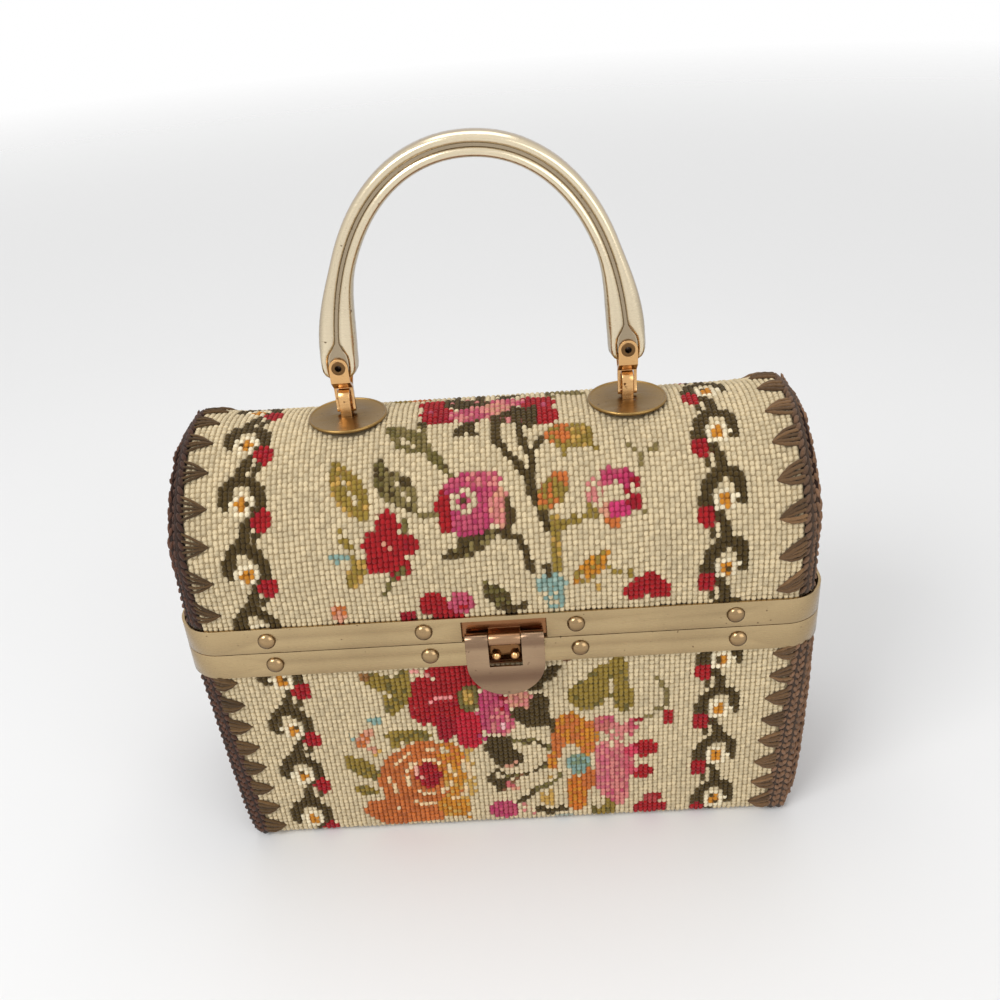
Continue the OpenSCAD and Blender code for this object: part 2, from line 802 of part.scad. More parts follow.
// On the lid each motif stands again on the back, turned half round
module on_lid(across, up) {
    for (turn = [0, 180]) rotate(turn) on_lid_once(across * row_pitch, up * row_pitch) children();
}

module spot(r) {
    circle(r * row_pitch);
}

module petals(count, reach, r) {
    for (k = [0 : count - 1]) rotate(k * 360 / count) translate([(reach - r) * row_pitch, 0]) spot(r);
    spot(reach - r);
}

// A leaf between two arcs, its long way turned from X
module leaf(length, width, turn) {
    r = (length * length + width * width) / (4 * width);
    rotate(turn) intersection() {
        translate([0, (r - width / 2) * row_pitch]) spot(r);
        translate([0, (width / 2 - r) * row_pitch]) spot(r);
    }
}

// A straight stem between two points
module stem(from, to, width) {
    d = to - from;
    translate(from * row_pitch) rotate(atan2(d[1], d[0]))
        translate([0, -width / 2 * row_pitch]) square([norm(d) * row_pitch, width * row_pitch]);
}

// Border vine, drawn as shares of one turn's length

// Height of the first daisies over the front joint line and over the table
lid_daisy_run = vine_pitch * 1.33;
base_daisy_z = vine_pitch * 0.417;
// A berry hangs on the inner side of its daisy
berry_off = vine_pitch * [0.307, -0.26];
lid_vine_turns = [-1 : floor((lid_run - lid_daisy_run) / vine_pitch)];
base_vine_turns = [0 : floor((base_tuck_z - base_daisy_z) / vine_pitch)];

// One turn of the vine around its daisy: an arch over it, a limb beside it and a stem below
module vine_turn() {
    difference() {
        polygon(vine_pitch * [
            [-0.26, 0.165], [-0.18, 0.18], [-0.126, 0.268], [0.04, 0.268], [0.18, 0.19], [0.205, 0],
            [0.134, -0.157], [0.047, -0.335], [-0.04, -0.453], [-0.055, -0.626], [0.08, -0.626],
            [0.157, -0.413], [0.236, -0.295], [0.339, -0.06], [0.339, 0.177], [0.22, 0.354],
            [0.063, 0.41], [-0.094, 0.4], [-0.236, 0.315]]);
        translate(berry_off) circle(berry_r + wool_clear);
    }
}

module on_lid_vines() {
    for (k = lid_vine_turns) {
        on_lid_once(-lid_daisy_left_x, lid_daisy_run + k * vine_pitch) children();
        on_lid_once(lid_daisy_right_x, lid_daisy_run + k * vine_pitch) mirror([1, 0]) children();
    }
}

module on_base_vines() {
    for (k = base_vine_turns) {
        on_base_at(-base_daisy_left_x, base_daisy_z + k * vine_pitch) children();
        on_base_at(base_daisy_right_x, base_daisy_z + k * vine_pitch) mirror([1, 0]) children();
    }
}

// Bouquet of the base: a red flower over an orange rose, with an orange and a pink flower beside them

module base_wool_red() {
    color(wool_red) intersection() {
        base_wool_layer();
        union() {
            on_base(-8.25, 36.25) difference() {
                petals(6, 9.25, 3.75);
                spot(2.25);
            }
            on_base(-17.5, 16) spot(2.5);
            on_base(27.5, 17) petals(3, 3, 1.25);
            on_base(32.25, 29.25) spot(1.25);
            on_base_vines() translate(berry_off) circle(berry_r);
        }
    }
}

module base_wool_pink() {
    color(wool_pink) intersection() {
        base_wool_layer();
        union() {
            on_base(5.5, 34.25) leaf(8.75, 4.75, 60);
            on_base(25.25, 25.5) leaf(7.75, 4.75, 75);
            on_base(25.5, 8.75) leaf(8.75, 4.25, 110);
            on_base(-2.5, 6.75) leaf(6.25, 3.75, 10);
        }
    }
}

module base_wool_gold() {
    color(wool_gold) intersection() {
        base_wool_layer();
        union() {
            on_base(-17.5, 16) difference() {
                petals(7, 9.25, 3.25);
                spot(4);
            }
            on_base(13.5, 17) difference() {
                petals(6, 8.25, 2.75);
                spot(2.25);
            }
            on_base(-8.25, 36.25) spot(2);
            on_base_vines() circle(daisy_heart_r);
        }
    }
}

module base_wool_olive() {
    color(wool_olive) intersection() {
        base_wool_layer();
        union() {
            on_base(18.75, 37.75) leaf(14, 7.75, 20);
            on_base(-22.25, 40.5) leaf(6.75, 3, 120);
            on_base(-21.75, 31) leaf(6.25, 2.75, 40);
            on_base(-31.5, 15.5) leaf(7.25, 3, 80);
        }
    }
}

module base_wool_vine() {
    color(wool_vine) intersection() {
        base_wool_layer();
        union() {
            on_base(1, 23.75) leaf(6.75, 4.25, 110);
            on_base_vines() vine_turn();
        }
    }
}

module base_wool_blue() {
    color(wool_blue) intersection() {
        base_wool_layer();
        union() {
            on_base(13.5, 17) spot(2);
            on_base(-27, 32) spot(1.25);
        }
    }
}

// Bouquet of the lid: a branch with a pink rose, red and pink flowers and single leaves

module lid_wool_red() {
    color(wool_red) intersection() {
        lid_wool_layer();
        union() {
            on_lid(-19.75, 21.75) petals(5, 5, 2);
            on_lid(-4.5, 28.25) difference() {
                spot(2.75);
                spot(1.25);
            }
            on_lid(-11.5, 9.75) petals(5, 4.25, 1.75);
            on_lid(26.25, 10.25) petals(5, 4, 1.75);
            on_lid(22.5, 28.25) spot(1.5);
            on_lid_vines() translate(berry_off) circle(berry_r);
        }
    }
}

module lid_wool_pink() {
    color(wool_pink) intersection() {
        lid_wool_layer();
        union() {
            on_lid(-4.5, 28.25) difference() {
                petals(6, 6.5, 2.5);
                spot(3);
            }
            on_lid(22.5, 28.25) difference() {
                petals(5, 4.5, 1.75);
                spot(1.75);
            }
            on_lid(-4.75, 9.25) leaf(5.25, 3.75, 70);
        }
    }
}

module lid_wool_gold() {
    color(wool_gold) intersection() {
        lid_wool_layer();
        union() {
            on_lid(12.75, 31.5) leaf(5.75, 3, 60);
            on_lid(16, 41.75) leaf(6.25, 3.25, 150);
            on_lid(18, 14) leaf(5.75, 2.5, 20);
            on_lid(-30, 8.25) spot(1.25);
            on_lid(-4.5, 28.25) spot(1);
            on_lid_vines() circle(daisy_heart_r);
        }
    }
}

module lid_wool_olive() {
    color(wool_olive) intersection() {
        lid_wool_layer();
        union() {
            on_lid(-26.5, 32.75) leaf(8.75, 3.75, 110);
            on_lid(-17.25, 33.25) leaf(7.75, 3.75, 120);
            on_lid(-16, 43) leaf(7.25, 3.75, 40);
            on_lid(-26.5, 18.25) leaf(5.75, 3, 60);
            on_lid(13, 22.75) {
                stem([-1, -4.25], [-1, 4.25], 1.25);
                stem([-1, -1], [5.25, 4.25], 1.25);
            }
        }
    }
}

module lid_wool_vine() {
    color(wool_vine) intersection() {
        lid_wool_layer();
        union() {
            on_lid(4.75, 40.5) {
                stem([-2, 4.75], [1.5, -3.75], 1.25);
                stem([2.5, 5.25], [1.5, -3.75], 1.25);
            }
            on_lid(7.75, 30) stem([-1, 5.75], [2, -5.75], 1.25);
            on_lid(-6.25, 19.25) leaf(7.25, 3, 20);
            on_lid(3, 17) stem([-1.5, 5.25], [2, -4.75], 1.25);
            on_lid_vines() vine_turn();
        }
    }
}

module lid_wool_blue() {
    color(wool_blue) intersection() {
        lid_wool_layer();
        union() {
            on_lid(10.5, 11.25) petals(3, 3.25, 1.5);
            on_lid(-30.25, 22.75) spot(1.25);
        }
    }
}

// Back hinges

// Lays a cylinder along X, from one place to another
module bar_x(from, to, r) {
    translate([from, 0, 0]) rotate([0, 90, 0]) cylinder(h = to - from, r = r);
}

hinge_half = hinge_knuckle_l * 1.5 + side_gap;
// Where a leaf starts above the axis, as a share of the knuckle's radius, clear of the other half's knuckles
leaf_share = 0.8;

// A leaf on the band and the strip that joins it to its knuckles; up is 1 for the lid's
module hinge_leaf(up, knuckles) {
    leaf_y = frame_d / 2;
    leaf_from = hinge_r * leaf_share;
    difference() {
        union() {
            translate([-hinge_half, leaf_y, joint_z + (up > 0 ? leaf_from : -hinge_leaf_h - leaf_from)])
                cube([2 * hinge_half, hinge_leaf_t, hinge_leaf_h]);
            for (k = knuckles) translate([0, hinge_y, joint_z]) {
                bar_x(k[0], k[1], hinge_r);
                translate([k[0], leaf_y - hinge_y, up > 0 ? hinge_r - hinge_leaf_t : -hinge_r])
                    cube([k[1] - k[0], hinge_y - leaf_y, hinge_leaf_t]);
            }
        }
        translate([0, hinge_y, joint_z]) bar_x(-hinge_half - over, hinge_half + over, hinge_pin_r + running_gap);
    }
}

mid_knuckle = hinge_knuckle_l / 2;

module hinge_leaves_base() {
    color(gilt_band) for (side = [-1, 1]) translate([side * hinge_x, 0, 0])
        hinge_leaf(-1, [[-hinge_half, -mid_knuckle - side_gap], [mid_knuckle + side_gap, hinge_half]]);
}

module hinge_leaves_lid() {
    color(gilt_band) for (side = [-1, 1]) translate([side * hinge_x, 0, 0])
        hinge_leaf(1, [[-mid_knuckle, mid_knuckle]]);
}

module hinge_pins() {
    color(old_brass) for (side = [-1, 1])
        translate([side * hinge_x, hinge_y, joint_z]) bar_x(-hinge_half, hinge_half, hinge_pin_r);
}

// Clasp

clasp_plate_y = -frame_d / 2 + band_t + hole_gap;
clasp_plate_h = band_h - band_t - 2 * layer_gap;

module clasp_notch() {
    translate([clasp_x - notch_w / 2, -frame_d / 2 - over, lid_rim_z - over])
        cube([notch_w, over + band_t, notch_h + over]);
}

// Room for the clasp's plate in the tapestry behind the band
module clasp_pocket() {
    w = clasp_plate_w + 2 * side_gap;
    translate([clasp_x - w / 2, -frame_d / 2, lid_low_z - over])
        cube([w, band_t + hole_gap + clasp_plate_t + layer_gap, clasp_plate_h + over + side_gap]);
}

module clasp_bracket() {
    color(old_brass) difference() {
        union() {
            translate([clasp_x - clasp_plate_w / 2, clasp_plate_y, lid_low_z])
                cube([clasp_plate_w, clasp_plate_t, clasp_plate_h]);
            translate([clasp_x, clasp_y, clasp_z]) {
                bar_x(-clasp_mid_l / 2, clasp_mid_l / 2, clasp_r);
                translate([-clasp_mid_l / 2, 0, clasp_r - flap_t])
                    cube([clasp_mid_l, clasp_plate_y - clasp_y + clasp_plate_t / 2, flap_t]);
            }
        }
        translate([clasp_x, clasp_y, clasp_z]) bar_x(-clasp_w, clasp_w, clasp_pin_r + running_gap);
    }
}

module clasp_pin() {
    color(old_brass) translate([clasp_x, clasp_y, clasp_z]) bar_x(-clasp_w / 2, clasp_w / 2, clasp_pin_r);
}

module clasp_flap() {
    slot = clasp_mid_l + 2 * side_gap;
    color(gilt_bright) translate([clasp_x, clasp_y, clasp_z]) difference() {
        union() {
            bar_x(-clasp_w / 2, clasp_w / 2, clasp_r);
            translate([0, -clasp_r + flap_t / 2, 0]) along_y(flap_t) {
                translate([-clasp_w / 2, -flap_straight_h]) square([clasp_w, flap_straight_h]);
                intersection() {
                    translate([0, -flap_straight_h]) circle(clasp_w / 2);
                    translate([-clasp_w, -2 * clasp_w]) square(2 * clasp_w);
                }
            }
        }
        bar_x(-clasp_w, clasp_w, clasp_pin_r + running_gap);
        translate([-slot / 2, -2 * clasp_r, -window_drop]) cube([slot, 4 * clasp_r, window_drop + 2 * clasp_r]);
    }
}

// Sheet thickness of the catch plate
catch_plate_t = 0.6;
// The balls stand just clear of the back of the shut flap
ball_clear = 0.2;
ball_y = -frame_d / 2 - (clasp_out + clasp_r - flap_t - ball_clear - ball_r);
module catch_plate() {
    color(old_brass) {
        translate([clasp_x - clasp_mid_l / 2 - over, -frame_d / 2 - catch_plate_t, clasp_z - window_drop])
            cube([clasp_mid_l + 2 * over, catch_plate_t, window_drop - clasp_rise - joint_gap]);
        for (side = [-1, 1])
            translate([clasp_x + side * ball_x, ball_y, clasp_z - ball_drop]) sphere(ball_r);
    }
}

// Handle mounts on the lid

module loop_holes() {
    for (side = [-1, 1])
        translate([side * handle_x, 0, lid_top_z])
            cube([loop_w + 2 * hole_gap, 2 * (loop_half_in + loop_t + hole_gap), 2 * washer_r], center = true);
}

// The two slots that the legs of a loop pass through
module leg_slots(height) {
    for (side = [-1, 1])
        translate([0, side * (loop_half_in + loop_t / 2), 0])
            cube([loop_w + 2 * hole_gap, loop_t + 2 * hole_gap, height], center = true);
}

// Radius of the rolled rim of a plate, and its dome at half way as a share of the rise
disc_bead_r = 0.6;
disc_half_rise = disc_dome * 0.78;
module handle_disc(side) {
    color(old_brass) translate([side * handle_x, 0, disc_z]) difference() {
        union() {
            rotate_extrude($fn = 96) polygon([
                [0, disc_dome], [disc_r / 2, disc_half_rise], [disc_r, 0],
                [disc_r, disc_t], [disc_r / 2, disc_half_rise + disc_t], [0, disc_dome + disc_t]]);
            rotate_extrude($fn = 96) translate([disc_r - disc_bead_r / 2, disc_bead_r]) circle(disc_bead_r, $fn = 24);
        }
        leg_slots(8 * disc_t);
    }
}

// Thickness of the washer, and its height where its rim meets the lining's curve
washer_t = 0.8;
washer_z = barrel_z + sqrt(pow(half_d - inside_in, 2) - washer_r * washer_r) - layer_gap - washer_t;
module loop_washer(side) {
    color(old_brass) translate([side * handle_x, 0, washer_z]) difference() {
        cylinder(h = washer_t, r = washer_r);
        leg_slots(4 * washer_t);
    }
}

// A strip bent into a loop, its tails bent out flat under the washer
module handle_loop(side) {
    tail_z = washer_z - layer_gap - loop_t;
    leg = loop_half_in + loop_t;
    arc_z = loop_in_z - loop_half_in;
    color(gilt_bright) translate([side * handle_x, 0, 0]) along_x(loop_w) {
        difference() {
            union() {
                translate([0, arc_z]) circle(leg);
                translate([-leg, tail_z]) square([2 * leg, arc_z - tail_z]);
            }
            translate([0, arc_z]) circle(loop_half_in);
            translate([-loop_half_in, tail_z - over]) square([2 * loop_half_in, arc_z - tail_z + over]);
        }
        for (s = [-1, 1])
            translate([s > 0 ? loop_half_in : -washer_r + over, tail_z])
                square([washer_r - over - loop_half_in, loop_t]);
    }
}

// Handle

// Centre line from the crown to a foot as one cubic curve, 0 at the crown
crown_reach = 29;
side_lift = 53;
function arch_point(t) =
    pow(1 - t, 3) * [0, crown_z] + 3 * pow(1 - t, 2) * t * [crown_reach, crown_z] +
    3 * (1 - t) * t * t * [handle_x, handle_foot_z + side_lift] + pow(t, 3) * [handle_x, handle_foot_z];
function arch_slope(t) = unit(arch_point(min(1, t + 0.01)) - arch_point(max(0, t - 0.01)));
function smooth(t) = t <= 0 ? 0 : t >= 1 ? 1 : t * t * (3 - 2 * t);

// Swell from the slim crown to the bulb of the foot, and the round end of the foot
foot_swell = [0.68, 0.92];
foot_end = 0.965;
function swell(t) = smooth((t - foot_swell[0]) / (foot_swell[1] - foot_swell[0]));
function end_round(t) = t < foot_end ? 1 : sqrt(max(0.12, 1 - pow((t - foot_end) / (1 - foot_end), 2)));

// Section with a ridge on each side of a groove, front and back
function handle_section(t) =
    let(a = (crown_half_w + (foot_half_w - crown_half_w) * swell(t)) * end_round(t),
        b = (crown_half_t + (foot_half_t - crown_half_t) * swell(t)) * (0.3 + 0.7 * end_round(t)),
        g = (1.2 + (strap_w / 2 + side_gap - 1.2) * swell(t)) * end_round(t),
        floor_b = b - groove_depth * (0.6 + 0.4 * swell(t)),
        ridge = (a + g) / 2,
        half = [[a, 0], [a * 0.95, b * 0.55], [ridge + (a - g) * 0.12, b], [ridge - (a - g) * 0.28, b * 0.97],
            [g, floor_b], [-g, floor_b], [-ridge + (a - g) * 0.28, b * 0.97],
            [-ridge - (a - g) * 0.12, b], [-a * 0.95, b * 0.55]])
    concat(half, [for (p = half) [-p[0], -p[1]]]);

// Ring of the handle at a place from -1, the left foot, over 0, the crown, to 1, the right foot
function handle_ring(s) =
    let(c = arch_point(abs(s)), d = arch_slope(abs(s)), side = s < 0 ? -1 : 1)
    [for (p = handle_section(abs(s))) [side * c[0] - side * d[1] * p[0], -p[1], c[1] + d[0] * p[0]]];

handle_steps = 20;
// Rings stand closer together near the feet
function handle_place(k) = k < 0 ? -handle_place(-k) : 1 - pow(1 - k / handle_steps, 1.3);

module handle_arch() {
    color(gilt_bright) difference() {
        skin([for (k = [-handle_steps : handle_steps]) handle_ring(handle_place(k))]);
        for (side = [-1, 1])
            translate([side * handle_x, 0, eyelet_z])
                rotate([90, 0, 0]) cylinder(h = 4 * foot_half_t, r = eyelet_r + hole_gap, center = true, $fn = 24);
    }
}

strap_in = foot_half_t - groove_depth + hole_gap;
strap_neck = bar_r * 0.8;
eye_half = loop_w / 2 + side_gap;
eye_top_z = loop_in_z + loop_t + side_gap;

module handle_bracket(side) {
    bend_low = eye_top_z + 1.2;
    bend_high = handle_foot_z - side_gap;
    color(gilt_bright) translate([side * handle_x, 0, 0]) difference() {
        union() {
            // Folded strap: a flat neck and two legs that straddle the foot
            along_x(strap_w) {
                translate([-strap_neck, swing_z]) square([2 * strap_neck, bend_low - swing_z]);
                for (s = [-1, 1])
                    polygon([[0, bend_low - strap_t], [s * strap_neck, bend_low - strap_t],
                        [s * (strap_in + strap_t), bend_high], [s * (strap_in + strap_t), eyelet_z],
                        [s * strap_in, eyelet_z], [s * strap_in, bend_high + strap_t * 0.4],
                        [0, bend_low + strap_t * 0.2]]);
            }
            for (s = [-1, 1])
                translate([0, s * (strap_in + strap_t / 2), eyelet_z])
                    rotate([90, 0, 0]) cylinder(h = strap_t, r = strap_w / 2, center = true);
            translate([0, 0, swing_z]) bar_x(-strap_w / 2, strap_w / 2, bar_r);
        }
        translate([-eye_half, -2 * strap_in, swing_z + bar_r])
            cube([2 * eye_half, 4 * strap_in, eye_top_z - swing_z - bar_r]);
        translate([-eye_half, -2 * strap_in, swing_z]) cube([2 * eye_half, 2 * strap_in - strap_neck, bar_r]);
        translate([0, 0, eyelet_z])
            rotate([90, 0, 0]) cylinder(h = 4 * foot_half_t, r = eyelet_r + hole_gap, center = true);
    }
}

// Thickness and radius of the turned flange of a hollow rivet
flange_t = 0.5;
flange_r = 2.5;
module handle_rivet(side) {
    reach = strap_in + strap_t + flange_t;
    color(gilt_bright) translate([side * handle_x, 0, eyelet_z]) rotate([90, 0, 0]) difference() {
        union() {
            cylinder(h = 2 * reach, r = eyelet_r, center = true);
            for (s = [-1, 1]) translate([0, 0, s * (reach - flange_t / 2)])
                cylinder(h = flange_t, r = flange_r, center = true);
        }
        cylinder(h = 4 * reach, r = eyelet_r - eyelet_wall, center = true);
    }
}

module handle_disc_left() { handle_disc(-1); }
module handle_disc_right() { handle_disc(1); }
module handle_loop_left() { handle_loop(-1); }
module handle_loop_right() { handle_loop(1); }
module loop_washer_left() { loop_washer(-1); }
module loop_washer_right() { loop_washer(1); }
module handle_bracket_left() { handle_bracket(-1); }
module handle_bracket_right() { handle_bracket(1); }
module handle_rivet_left() { handle_rivet(-1); }
module handle_rivet_right() { handle_rivet(1); }

base_shell();
base_lining();
base_tapestry();
base_end_left();
base_end_right();
base_edge_left();
base_edge_right();
base_frame();
base_rivets();
catch_plate();
hinge_leaves_base();
hinge_pins();
base_wool_red();
base_wool_pink();
base_wool_gold();
base_wool_olive();
base_wool_vine();
base_wool_blue();
lid_shell();
lid_lining();
lid_tapestry();
lid_end_left();
lid_end_right();
lid_edge_left();
lid_edge_right();
lid_frame();
lid_rivets();
hinge_leaves_lid();
lid_wool_red();
lid_wool_pink();
lid_wool_gold();
lid_wool_olive();
lid_wool_vine();
lid_wool_blue();
clasp_bracket();
clasp_pin();
clasp_flap();
handle_disc_left();
handle_disc_right();
handle_loop_left();
handle_loop_right();
loop_washer_left();
loop_washer_right();
handle_arch();
handle_bracket_left();
handle_bracket_right();
handle_rivet_left();
handle_rivet_right();
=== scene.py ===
"""Looks of the tapestry handbag: wool stitches, crochet, lining, gilt metal, light and camera."""

import math

import bpy
import numpy as np
from mathutils import Matrix, Vector


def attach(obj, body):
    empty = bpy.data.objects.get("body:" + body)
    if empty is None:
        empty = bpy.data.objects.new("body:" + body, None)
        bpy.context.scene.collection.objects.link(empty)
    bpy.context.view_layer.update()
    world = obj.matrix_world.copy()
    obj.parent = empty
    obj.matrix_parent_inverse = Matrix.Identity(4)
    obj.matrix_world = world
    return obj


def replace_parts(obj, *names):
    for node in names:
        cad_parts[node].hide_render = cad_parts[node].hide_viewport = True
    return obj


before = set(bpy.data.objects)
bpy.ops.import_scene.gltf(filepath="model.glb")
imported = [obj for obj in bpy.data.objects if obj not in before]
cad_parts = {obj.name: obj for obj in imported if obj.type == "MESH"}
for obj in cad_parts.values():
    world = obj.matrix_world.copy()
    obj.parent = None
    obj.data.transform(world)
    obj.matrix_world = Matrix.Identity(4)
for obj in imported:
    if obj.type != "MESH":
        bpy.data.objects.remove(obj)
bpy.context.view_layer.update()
mm = 0.001
chance = np.random.RandomState(7)


# Sizes in millimetres

half_w = 118.85
half_d = 47.85
plan_r = 13.85
joint_z = 100.0
base_tuck_z = 88.9
lid_tuck_z = 111.1
barrel_z = 123.5
lid_top_z = 171.35
lid_top_half_w = 115.6
foot_half_w = 109.0
# The foot is a little squarer here than in the solids
foot_half_d = 45.5
foot_r = 5.5
seam_x = 109.4
foot_seam_x = 104.0
# Width of the rim between the tapestry and the lid's crocheted end
chain_w = 4.15
# Board and clearances between the wool's face and the lining
wall = 4.5
handle_x = 52.4
# No stitches lie under the handle's round plates
plate_clear_r = 13.2
# From one stitch to the next
stitch = 1.93


# Materials


def shader_numbers(c):
    """Seen colours, 0 to 255, to the numbers a shader takes."""
    c = np.asarray(c) / 255.0
    return np.where(c <= 0.04045, c / 12.92, ((c + 0.055) / 1.055) ** 2.4)


def linear(r, g, b):
    return tuple(shader_numbers([r, g, b])) + (1.0,)


def put(tree, value, socket):
    """Feeds an input with another node's output or with a plain value."""
    if isinstance(value, bpy.types.NodeSocket):
        tree.links.new(value, socket)
    else:
        socket.default_value = value


def maths(tree, operation, *values):
    n = tree.nodes.new("ShaderNodeMath")
    n.operation = operation
    for i, value in enumerate(values):
        put(tree, value, n.inputs[i])
    return n.outputs[0]


def own_place(tree):
    """Places in metres, counted from the piece's own origin."""
    return tree.nodes.new("ShaderNodeTexCoord").outputs["Object"]


def noise(tree, scale, detail, stretch=None):
    n = tree.nodes.new("ShaderNodeTexNoise")
    n.inputs["Detail"].default_value = detail
    put(tree, scale, n.inputs["Scale"])
    place = own_place(tree)
    if stretch:
        m = tree.nodes.new("ShaderNodeMapping")
        m.inputs["Scale"].default_value = stretch
        put(tree, place, m.inputs["Vector"])
        place = m.outputs["Vector"]
    put(tree, place, n.inputs["Vector"])
    return n.outputs["Fac"]


def spread(tree, value, low, high, to_low=0.0, to_high=1.0):
    n = tree.nodes.new("ShaderNodeMapRange")
    for label, v in (("Value", value), ("From Min", low), ("From Max", high), ("To Min", to_low), ("To Max", to_high)):
        put(tree, v, n.inputs[label])
    return n.outputs["Result"]


def attribute_of(tree, name):
    n = tree.nodes.new("ShaderNodeAttribute")
    n.attribute_name = name
    return n


def grey(tree, value):
    n = tree.nodes.new("ShaderNodeCombineColor")
    for i in range(3):
        put(tree, value, n.inputs[i])
    return n.outputs["Color"]


def mixed(tree, kind, share, a, b):
    """A Mix node for colours; each of share, a and b is a socket or a plain value."""
    n = tree.nodes.new("ShaderNodeMix")
    n.data_type = "RGBA"
    n.blend_type = kind
    for identifier, v in (("Factor_Float", share), ("A_Color", a), ("B_Color", b)):
        put(tree, v, next(s for s in n.inputs if s.identifier == identifier))
    return next(s for s in n.outputs if s.identifier == "Result_Color")


def group_of(name, inputs, outputs):
    g = bpy.data.node_groups.new(name, "ShaderNodeTree")
    for label, value in inputs:
        s = g.interface.new_socket(label, in_out="INPUT", socket_type="NodeSocketFloat")
        s.default_value = value
    for label in outputs:
        g.interface.new_socket(label, in_out="OUTPUT", socket_type="NodeSocketFloat")
    return g, g.nodes.new("NodeGroupInput").outputs, g.nodes.new("NodeGroupOutput").inputs


def wool_fibres():
    """Soft uneven fibres: a shade from dark to light and a height."""
    g, given, result = group_of("wool fibres", [("Scale", 900.0), ("Contrast", 1.0)], ["Shade", "Height"])
    fine = noise(g, given["Scale"], 4.0)
    broad = maths(g, "MULTIPLY", noise(g, 60.0, 2.0), 0.3)
    centred = maths(g, "SUBTRACT", maths(g, "MULTIPLY_ADD", fine, 0.7, broad), 0.5)
    put(g, maths(g, "MULTIPLY_ADD", centred, given["Contrast"], 1.0), result["Shade"])
    put(g, fine, result["Height"])
    return g


def metal_wear():
    """Brushed grain, soft clouds and small tarnished specks."""
    g, given, result = group_of(
        "metal wear", [("Speck Size", 260.0), ("Speck Share", 0.3)], ["Grain", "Clouds", "Specks"]
    )
    limit = maths(g, "SUBTRACT", 0.86, maths(g, "MULTIPLY", given["Speck Share"], 0.35))
    over = maths(g, "SUBTRACT", noise(g, given["Speck Size"], 6.0), limit)
    put(g, noise(g, 500.0, 3.0, (0.12, 1.0, 3.0)), result["Grain"])
    put(g, spread(g, noise(g, 28.0, 4.0), 0.35, 0.7), result["Clouds"])
    put(g, spread(g, over, -0.16, -0.10), result["Specks"])
    return g


fibre_group = wool_fibres()
wear_group = metal_wear()


def shader_of(name):
    m = bpy.data.materials.new(name)
    m.use_nodes = True
    return m, m.node_tree, m.node_tree.nodes["Principled BSDF"]


def placed(tree, group, **values):
    n = tree.nodes.new("ShaderNodeGroup")
    n.node_tree = group
    for k, v in values.items():
        n.inputs[k.replace("_", " ")].default_value = v
    return n.outputs


def surfaced(tree, bsdf, colour, rough, height, relief, strength=0.6):
    """Feeds a surface its colour, its roughness and its small relief, which is in metres."""
    b = tree.nodes.new("ShaderNodeBump")
    put(tree, relief, b.inputs["Distance"])
    put(tree, strength, b.inputs["Strength"])
    put(tree, height, b.inputs["Height"])
    put(tree, b.outputs["Normal"], bsdf.inputs["Normal"])
    put(tree, colour, bsdf.inputs["Base Color"])
    put(tree, rough, bsdf.inputs["Roughness"])


def yarn(name, contrast, scale, sheen, colour=None):
    """Wool or cotton with fibres on it: one colour, or else the colours of the attribute wool."""
    m, tree, bsdf = shader_of(name)
    fibres = placed(tree, fibre_group, Scale=scale, Contrast=contrast)
    source = colour or attribute_of(tree, "wool").outputs["Color"]
    tone = mixed(tree, "MULTIPLY", 1.0, source, grey(tree, fibres["Shade"]))
    bsdf.inputs["Specular IOR Level"].default_value = 0.2
    bsdf.inputs["Sheen Weight"].default_value = sheen
    bsdf.inputs["Sheen Roughness"].default_value = 0.6
    surfaced(tree, bsdf, tone, 0.9, fibres["Height"], 0.0004, 0.9)
    return m


def by_height(tree, stops):
    """A share that changes with the height, from pairs of height and share."""
    low, high = stops[0][0], stops[-1][0]
    parts = tree.nodes.new("ShaderNodeSeparateXYZ")
    put(tree, own_place(tree), parts.inputs[0])
    ramp = tree.nodes.new("ShaderNodeValToRGB")
    put(tree, spread(tree, parts.outputs["Z"], low * mm, high * mm), ramp.inputs["Fac"])
    points = ramp.color_ramp.elements
    points[0].color = (stops[0][1],) * 3 + (1,)
    points[1].color = (stops[-1][1],) * 3 + (1,)
    for z, share in stops[1:-1]:
        points.new((z - low) / (high - low)).color = (share,) * 3 + (1,)
    return ramp.outputs["Color"]


def metal(name, colour, dark, rough, specks, cloud, speck_size=420.0, edge=0.5, painted_height_bands=None):
    """Plated metal: its colour, the darker colour of its tarnished specks and of its painted shade, how blunt its gloss
    is, and how much its turned sides are darkened as a painted reflection.
    """
    m, tree, bsdf = shader_of(name)
    colour, dark = linear(*colour), linear(*dark)
    wear = placed(tree, wear_group, Speck_Size=speck_size, Speck_Share=specks)
    dull = tuple(0.55 * a + 0.45 * b for a, b in zip(colour, dark))
    tone = mixed(tree, "MIX", spread(tree, wear["Clouds"], 0.0, 1.0, 0.0, cloud), colour, dull)
    # Painted reflection: the Layer Weight darkens the turned sides by up to edge, standing in for dark surroundings
    # seen in the metal
    turned = tree.nodes.new("ShaderNodeLayerWeight")
    turned.inputs["Blend"].default_value = 0.5
    shares = [
        wear["Specks"],
        spread(tree, turned.outputs["Facing"], 0.2, 0.95, 0.0, edge),
        # A share of painted light by point: shade in recesses and the handle's groove, and a painted highlight at the
        # plates' rims
        attribute_of(tree, "painted_shade_share").outputs["Fac"],
    ]
    # Painted reflection and painted shade in bands by height, where given
    if painted_height_bands:
        shares.append(by_height(tree, painted_height_bands))
    for share in shares:
        tone = mixed(tree, "MIX", share, tone, dark)
    bsdf.inputs["Metallic"].default_value = 1.0
    gloss = spread(tree, wear["Grain"], 0.3, 0.7, rough - 0.06, rough + 0.1)
    surfaced(tree, bsdf, tone, gloss, wear["Grain"], 0.00004, 0.5)
    return m


